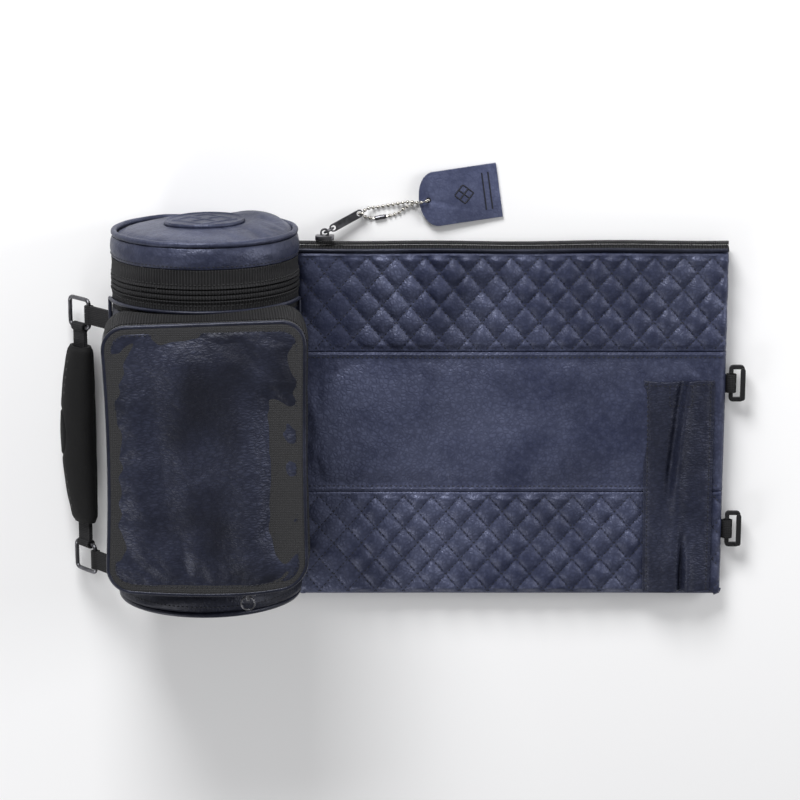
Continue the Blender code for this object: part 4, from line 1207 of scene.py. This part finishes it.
def make_pouch():
    make_quilts()
    low_y, high_y = low("pouch_centre_panel").y, high("pouch_centre_panel").y

    def rise(x, y):
        ridge = hump(y - low_y, 0.0015, 0.0011) + hump(high_y - y, 0.0015, 0.0011)
        swell = 0.0018 * ease(min(y - low_y, high_y - y), 0.004, 0.035)
        return 0.0008 * ridge + swell * (0.7 + 0.5 * lumps((x, y, 0), 22, 5)) - 0.0006

    shape = panel_sheet(low_y, high_y, 150, 54, rise)
    closed_pad(shape, (0, 0, -0.0018))

    def held(point):
        edge = min(point.x - POUCH_LOW.x, POUCH_HIGH.x - point.x)
        seam = min(point.y - low_y, high_y - point.y)
        return edge < 0.009 or seam < 0.006 or point.z < POUCH_TOP_Z - 0.0020

    filled(shape, held, 0.0016, slack=0.010)
    centre = piece(
        "pouch_centre_skin", shape, "pouch", "pouch_leather", ["pouch_centre_panel"]
    )
    rows = []
    for y in (low_y + 0.0034, high_y - 0.0034):
        rows.append([
            Vector((x, y, POUCH_TOP_Z)) for x in (POUCH_LOW.x + 0.003, POUCH_HIGH.x - 0.003)
        ])
    stitching("pouch_centre_stitches", "pouch", "thread", centre, rows, down)
    make_pouch_back()


def make_pouch_back():
    """The back, turned up at its sides and foot to meet the front's seams."""
    arc_share = 0.035
    roll = (POUCH_RIM_Z - POUCH_LOW.z) / 2
    sweep = math.radians(165)

    def edge(share, half):
        """Distance from the middle and height for a share from -1 to 1 of the sheet."""
        if abs(share) < 1 - arc_share:
            return share / (1 - arc_share) * (half - roll), 0.0
        turn = (abs(share) - 1 + arc_share) / arc_share * sweep
        out = half - roll + roll * 0.96 * math.sin(turn)
        return math.copysign(out, share), roll * (1 - math.cos(turn))

    middle = (POUCH_LOW + POUCH_HIGH) / 2
    half_x = (POUCH_HIGH.x - POUCH_LOW.x) / 2
    length = POUCH_HIGH.y - POUCH_LOW.y

    def place(u, v):
        x, side_z = edge(u * 2 - 1, half_x)
        share = min(v, 0.999) - 1
        y, foot_z = edge(share, length)
        z = POUCH_LOW.z + 0.0002 + max(side_z, foot_z)
        belly = 0.0004 * lumps((x, y, 0), 18) + 0.0004
        return Vector((middle.x + x, POUCH_HIGH.y + y, z + belly))

    shape = sheet(220, 170, place, (2 * half_x, length))
    outward(shape, lambda point: Vector((point.x - middle.x, 0, -0.02)))
    back = piece("pouch_back_skin", shape, "pouch", "pouch_leather", ["pouch_back"], wall=0.0012)


# Sleeve

SLEEVE_LOW = low("pouch_sleeve")
SLEEVE_HIGH = high("pouch_sleeve")


def sleeve_folds(a, b):
    """Rise of the sleeve, in metres: slack in the middle, with pleats running down it."""
    loose = 0.0034 * math.sin(math.pi * a) ** 0.7
    upper = 0.0026 * hump(a, 0.66 - 0.34 * (1 - b) ** 0.8, 0.085) * ease(b, 0.30, 0.62)
    valley = -0.0030 * hump(a, 0.55 - 0.33 * (1 - b) ** 0.8, 0.060) * ease(b, 0.36, 0.60)
    middle = 0.0018 * hump(a, 0.62 - 0.20 * (1 - b), 0.10) * hump(b, 0.42, 0.30)
    slit = -0.0046 * hump(a, 0.56 + 0.04 * b, 0.045) * ease(b, 0.36, 0.10)
    lip = 0.0016 * hump(a, 0.67, 0.07) * ease(b, 0.36, 0.08)
    soft = 0.0005 * lumps((a * 3, b * 8, 0), 1.4, 9)
    return (loose + upper + valley + middle + slit + lip + soft) * ease(
        min(a, 1 - a), 0.0, 0.10
    )


def sleeve_spot(a, b, lift=0.0):
    """A point of the sleeve: a across it and b up it. Its lower corner hangs a little low."""
    foot, head = SLEEVE_LOW, SLEEVE_HIGH
    drop = -0.0014 * (1 - b) * (1 - a) - 0.0006 * b * math.sin(math.pi * a * 2)
    x = foot.x + (head.x - foot.x) * a + 0.0016 * (1 - b) * (1 - a)
    y = foot.y + (head.y - foot.y) * b + drop
    return Vector((x, y, foot.z + 0.0010 + sleeve_folds(a, b) + lift))


def make_sleeve():
    width = SLEEVE_HIGH.x - SLEEVE_LOW.x
    length = SLEEVE_HIGH.y - SLEEVE_LOW.y
    shape = sheet(72, 200, sleeve_spot, (width, length))
    outward(shape, up)
    strip = piece("sleeve_strip", shape, "pouch", "sleeve_leather", ["pouch_sleeve"], wall=0.0013)
    inset = 0.0024
    rows = []
    for a in (inset / width, 1 - inset / width):
        rows.append([sleeve_spot(a, i / 30) for i in range(31)])
    for b in (1 - inset / length,):
        rows.append([sleeve_spot(i / 16, b) for i in range(17)])
    box = ((0.36, 0.985), (0.36, 0.885), (0.68, 0.885), (0.68, 0.985))
    rows.append([sleeve_spot(a, b) for a, b in box])
    stitching("sleeve_stitches", "pouch", "thread", strip, rows, down)


# Pouch zip


def zip_wave(x):
    """The lip of the pouch isn't quite straight."""
    return 0.0006 * math.sin(x * 55) + 0.0004 * math.sin(x * 23 + 1)


def make_pouch_zip():
    left, right = POUCH_LOW.x, POUCH_HIGH.x
    coil_y = (low("pouch_zip_coil").y + high("pouch_zip_coil").y) / 2
    coil_z = (low("pouch_zip_coil").z + high("pouch_zip_coil").z) / 2
    for name, lip_z, sign in (
        ("pouch_zip_tape_front", high("pouch_zip_tape_front").z, 1),
        ("pouch_zip_tape_back", low("pouch_zip_tape_back").z, -1),
    ):
        lip_y = low(name).y
        end_y = high(name).y

        def place(u, v):
            x = left + (right - left) * u
            y = lip_y + (end_y - lip_y) * v
            drop = ease(v, 0.0, 1.15)
            z = lip_z + (coil_z + sign * 0.0011 - lip_z) * drop
            hem = sign * 0.0006 * hump(v, 0.62, 0.12)
            return Vector((x, y + zip_wave(x) * 0.5, z + hem))

        shape = sheet(240, 16, place, (right - left, 0.006))
        outward(shape, lambda point, s=sign: Vector((0, 0, s)))
        piece(f"{name}_cloth", shape, "pouch", "tape", [name], wall=0.0009)
    path = []
    for i in range(241):
        x = left + (right - left) * i / 240
        path.append((x, coil_y + zip_wave(x) * 0.5, coil_z))
    piece("pouch_coil_ridged", coil(path, 0.00145, 0.0014), "pouch", "coil", ["pouch_zip_coil"])
    welt = (low("pouch_welt") + high("pouch_welt")) / 2
    path = []
    for i in range(181):
        x = left + 0.001 + (right - left - 0.002) * i / 180
        path.append((x, welt.y + zip_wave(x) * 0.4, welt.z + 0.0003 * math.sin(x * 70)))
    piece("pouch_welt_cord", rod(path, 0.00125, False, 10), "pouch", "piping", ["pouch_welt"])
    refined("pouch_slider", "gunmetal", 0.0005)
    refined("pull_link", "gunmetal", rounds=1)
    make_pull()


def make_pull():
    """The long pull, its own shape with its edges broken."""
    refined("pouch_pull", "gunmetal", 0.0003)


# Chain and tag

TAG_TURN = math.radians(8)
TAG_ALONG = Vector((math.cos(TAG_TURN), math.sin(TAG_TURN), 0))


def chain_route():
    """The loop of chain from the pull's eye, through the tag's hole and back, with its clasp."""
    eye = Vector((0.095853, 0.121184, 0.00483))
    hole = eye + Vector((0.0443, 0.0085, 0))
    hole.z = 0.0035
    rise = Vector((0, 0, 1))
    run = (hole - eye).normalized()
    side = rise.cross(run).normalized()
    ground = 0.0013
    clasp = [
        eye + run * at - side * 0.0056 + rise * (ground - eye.z) for at in (0.0160, 0.0095)
    ]
    route = [
        eye + rise * 0.0001,
        eye + run * 0.0022 + rise * 0.0024,
        eye + run * 0.0055 + side * 0.0020 - rise * 0.0008,
        eye + run * 0.014 + side * 0.0012 + rise * (ground - eye.z),
        hole - run * 0.014 + side * 0.0012 + rise * (ground + 0.0010 - hole.z),
        hole - run * 0.0065 + rise * 0.0028,
        hole - run * 0.0015 + rise * 0.0032,
        hole,
        hole - run * 0.0020 - rise * 0.0024,
        hole - run * 0.014 - side * 0.0018 + rise * (ground - hole.z),
        eye + run * 0.024 - side * 0.0052 + rise * (ground - eye.z),
        clasp[0],
        clasp[1],
        eye + run * 0.0045 - side * 0.0040 + rise * (ground - eye.z),
        eye + run * 0.0008 - side * 0.0015 - rise * 0.0026,
    ]
    return smooth(route, 6), clasp


def smooth(points, steps):
    """A closed smooth line through the points, with that many steps between neighbours."""
    line = []
    count = len(points)
    for i in range(count):
        a, b, c, d = (points[(i + k) % count] for k in (-1, 0, 1, 2))
        for j in range(steps):
            t = j / steps
            line.append(
                0.5 * (2 * b + (c - a) * t + (2 * a - 5 * b + 4 * c - d) * t**2)
                + 0.5 * (3 * b - a - 3 * c + d) * t**3
            )
    return line


def make_chain():
    line, clasp = chain_route()
    shape = rod(even(line, 0.0016, True), 0.0004, True, 6)
    middle = (clasp[0] + clasp[1]) / 2
    for spot in even(line, sizes().bead_pitch, True):
        if (spot - middle).length < 0.0042:
            continue
        bmesh.ops.create_icosphere(
            shape, subdivisions=2, radius=sizes().bead_radius, matrix=Matrix.Translation(spot)
        )
    piece("ball_chain", shape, "chain", "nickel", ["tag_chain"])
    way = (clasp[0] - clasp[1]).normalized()
    ends = [clasp[1] - way * 0.0006, clasp[0] + way * 0.0006]
    spots = even(ends, 0.0008)
    swell = [0.72 if i in (0, len(spots) - 1) else 1.0 for i in range(len(spots))]
    shape = rod(spots, 0.00145, False, 12, swell)
    piece("chain_clasp_barrel", shape, "chain", "gunmetal", ["chain_clasp"])


def make_tag():
    """A D-shaped leather tag with its rim broken: a plain diamond mark and two pressed bars."""
    node = frame["nodes"]["leather_tag"]
    shape = bmesh.new()
    shape.from_mesh(node.data)
    bmesh.ops.remove_doubles(shape, verts=shape.verts, dist=1e-6)
    bmesh.ops.dissolve_limit(
        shape, angle_limit=math.radians(2), verts=shape.verts, edges=shape.edges
    )
    rim = [
        edge
        for edge in shape.edges
        if len(edge.link_faces) == 2 and edge.calc_face_angle() > math.radians(60)
    ]
    bmesh.ops.bevel(
        shape, geom=rim, offset=0.0004, segments=2, profile=0.5,
        affect="EDGES", material=-1, clamp_overlap=True,
    )
    piece("tag_leather", shape, "tag", "tag_leather", ["leather_tag"])
    make_tag_marks()


def tag_frame():
    """The tag's own directions: along it, across it and out of its face, from its hole."""
    head, foot = low("leather_tag"), high("leather_tag")
    fall = math.asin(0.0026 / 0.046)
    along = TAG_ALONG * math.cos(fall) - Vector((0, 0, 1)) * math.sin(fall)
    across = Vector((0, 0, 1)).cross(TAG_ALONG)
    return (head + foot) / 2, along, across, along.cross(across)


def make_tag_marks():
    """Pressed lines of the tag: a diamond of four small ones, and two bars at its square end."""
    centre, along, across, face = tag_frame()
    runs = []
    half = 0.0062
    middle = centre + along * 0.002
    corners = [middle + along * u * half + across * v * half
               for u, v in ((1, 0), (0, 1), (-1, 0), (0, -1))]
    runs.append((corners, True))
    runs.append(([(corners[i] + corners[(i + 1) % 4]) / 2 for i in (0, 2)], False))
    runs.append(([(corners[i] + corners[(i + 1) % 4]) / 2 for i in (1, 3)], False))
    for reach in (0.0150, 0.0190):
        start = centre + along * reach
        runs.append(([start - across * 0.012, start + across * 0.012], False))
    for number, (points, closed) in enumerate(runs):
        lifted = [point + face * 0.00085 for point in points]
        shape = rod(even(lifted, 0.0015, closed), 0.00045, closed, 8)
        # the pressed lines are raised rods in the dark thread finish: their dark colour is partly the
        # pressed leather's own and partly painted shade for the grooves
        piece(f"tag_mark_{number}", shape, "tag", "thread")


# Clips


def make_clips():
    for place in ("upper", "lower"):
        refined(f"clip_frame_{place}", "clip", 0.0004)
        refined(f"clip_gate_{place}", "clip", 0.0003)
        refined(f"clip_tab_{place}", "webbing")
        make_clip_ribs(place)


def make_clip_ribs(place):
    """Moulded grip ribs across the clip's frame."""
    bottom, top = low(f"clip_frame_{place}"), high(f"clip_frame_{place}")
    shape = bmesh.new()
    count = 7
    for i in range(count):
        y = bottom.y + (top.y - bottom.y) * (0.2 + 0.6 * i / (count - 1))
        spot = Vector((bottom.x + 0.0013, y, top.z))
        scale = Matrix.Diagonal((0.0011, 0.0005, 0.0004, 1))
        bmesh.ops.create_uvsphere(
            shape, u_segments=10, v_segments=6, radius=1, matrix=Matrix.Translation(spot) @ scale
        )
    piece(f"clip_ribs_{place}", shape, f"clip_{place}", "clip")


# Stage


def make_stage():
    shape = bmesh.new()
    bmesh.ops.create_grid(shape, x_segments=2, y_segments=2, size=4)
    mesh = bpy.data.meshes.new("floor")
    shape.to_mesh(mesh)
    shape.free()
    floor = bpy.data.objects.new("floor", mesh)
    bpy.context.scene.collection.objects.link(floor)
    floor.location.z = -0.0002
    paint = Paint("floor_paper")
    tint = colours().floor
    shade = paint.mix(rgb(tint, 0.99), rgb(tint, 1.0), paint.noise(3))
    mesh.materials.append(paint.finish(shade, 0.9))
    world = bpy.data.worlds.new("studio")
    world.use_nodes = True
    world.node_tree.nodes["Background"].inputs["Color"].default_value = (1, 1, 1, 1)
    world.node_tree.nodes["Background"].inputs["Strength"].default_value = 0.30
    bpy.context.scene.world = world
    bpy.context.scene.view_settings.view_transform = "Standard"
    aim = Vector((0.122, -0.0008, 0.008))
    for name, place, size, power in (
        ("key", (-0.20, 1.25, 0.80), 0.6, 26.0),
        ("side", (1.35, 0.30, 0.60), 0.6, 8.0),
        ("fill", (-0.90, -1.1, 0.70), 0.7, 10.0),
    ):
        light = bpy.data.lights.new(name, "AREA")
        light.size = size
        light.energy = power
        lamp = bpy.data.objects.new(name, light)
        bpy.context.scene.collection.objects.link(lamp)
        lamp.location = place
        lamp.rotation_mode = "QUATERNION"
        lamp.rotation_quaternion = (aim - Vector(place)).to_track_quat("-Z", "Y")
    tilt = math.radians(13.3)
    reach = 1.75
    camera = bpy.data.cameras.new("camera")
    camera.sensor_width = 36
    camera.lens = 36 * reach / 0.52
    view = bpy.data.objects.new("camera", camera)
    bpy.context.scene.collection.objects.link(view)
    back = Vector((0, math.sin(tilt), math.cos(tilt)))
    view.location = aim + back * reach
    view.rotation_euler = (-tilt, 0, 0)
    bpy.context.scene.camera = view


# Operators and panel


class BAG_OT_barrel(bpy.types.Operator):
    """Make the barrel's leather, base, piping and the finishes of its hidden boards and linings"""

    bl_idname = "bag.barrel"
    bl_label = "Barrel"

    def execute(self, context):
        make_barrel()
        return {"FINISHED"}


class BAG_OT_lid(bpy.types.Operator):
    """Make the lid's band, padded top, rim cord and round patch"""

    bl_idname = "bag.lid"
    bl_label = "Lid"

    def execute(self, context):
        make_lid()
        return {"FINISHED"}


class BAG_OT_lid_zip(bpy.types.Operator):
    """Make the ribbed tapes and coil covers of the lid's zip, with its slider"""

    bl_idname = "bag.lid_zip"
    bl_label = "Lid zip"

    def execute(self, context):
        make_lid_zip()
        return {"FINISHED"}


class BAG_OT_pocket(bpy.types.Operator):
    """Make the pocket's gusset, zip, piping and padded front"""

    bl_idname = "bag.pocket"
    bl_label = "Pocket"

    def execute(self, context):
        make_pocket()
        return {"FINISHED"}


class BAG_OT_handle(bpy.types.Operator):
    """Make the rolled grip, its strap, rings and tabs"""

    bl_idname = "bag.handle"
    bl_label = "Handle"

    def execute(self, context):
        make_handle()
        return {"FINISHED"}


class BAG_OT_links(bpy.types.Operator):
    """Make the rings and webbing loops between bag and pouch"""

    bl_idname = "bag.links"
    bl_label = "Links"

    def execute(self, context):
        make_links()
        return {"FINISHED"}


class BAG_OT_pouch(bpy.types.Operator):
    """Make the pouch's quilted bands, centre panel and back"""

    bl_idname = "bag.pouch"
    bl_label = "Pouch"

    def execute(self, context):
        make_pouch()
        return {"FINISHED"}


class BAG_OT_sleeve(bpy.types.Operator):
    """Make the pleated sleeve on the pouch"""

    bl_idname = "bag.sleeve"
    bl_label = "Sleeve"

    def execute(self, context):
        make_sleeve()
        return {"FINISHED"}


class BAG_OT_pouch_zip(bpy.types.Operator):
    """Make the pouch's zip, welt, slider and pull"""

    bl_idname = "bag.pouch_zip"
    bl_label = "Pouch zip"

    def execute(self, context):
        make_pouch_zip()
        return {"FINISHED"}


class BAG_OT_tag(bpy.types.Operator):
    """Make the ball chain, its clasp and the leather tag"""

    bl_idname = "bag.tag"
    bl_label = "Chain and tag"

    def execute(self, context):
        make_chain()
        make_tag()
        return {"FINISHED"}


class BAG_OT_clips(bpy.types.Operator):
    """Make the two clips and their tabs"""

    bl_idname = "bag.clips"
    bl_label = "Clips"

    def execute(self, context):
        make_clips()
        return {"FINISHED"}


class BAG_OT_stage(bpy.types.Operator):
    """Make the floor, the studio light and the camera"""

    bl_idname = "bag.stage"
    bl_label = "Stage"

    def execute(self, context):
        make_stage()
        return {"FINISHED"}


MAKERS = (
    BAG_OT_stage,
    BAG_OT_barrel,
    BAG_OT_lid,
    BAG_OT_lid_zip,
    BAG_OT_pocket,
    BAG_OT_handle,
    BAG_OT_links,
    BAG_OT_pouch,
    BAG_OT_sleeve,
    BAG_OT_pouch_zip,
    BAG_OT_tag,
    BAG_OT_clips,
)


class BAG_PT_panel(bpy.types.Panel):
    """Sizes, colours and a button for each group of pieces"""

    bl_label = "Zip bag and pouch"
    bl_idname = "BAG_PT_panel"
    bl_space_type = "VIEW_3D"
    bl_region_type = "UI"
    bl_category = "Bag"

    def draw(self, context):
        for group in (context.scene.bag_sizes, context.scene.bag_colours):
            column = self.layout.column(align=True)
            for name in group.__annotations__:
                column.prop(group, name)
        for maker in MAKERS:
            self.layout.operator(maker.bl_idname)


CLASSES = (BagSizes, BagColours, *MAKERS, BAG_PT_panel)


def register():
    for cls in CLASSES:
        bpy.utils.register_class(cls)
    bpy.types.Scene.bag_sizes = PointerProperty(type=BagSizes)
    bpy.types.Scene.bag_colours = PointerProperty(type=BagColours)


def unregister():
    del bpy.types.Scene.bag_colours
    del bpy.types.Scene.bag_sizes
    for cls in reversed(CLASSES):
        bpy.utils.unregister_class(cls)


def main():
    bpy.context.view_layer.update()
    register()
    for maker in MAKERS:
        group, name = maker.bl_idname.split(".")
        getattr(getattr(bpy.ops, group), name)()


if __name__ == "__main__":
    main()
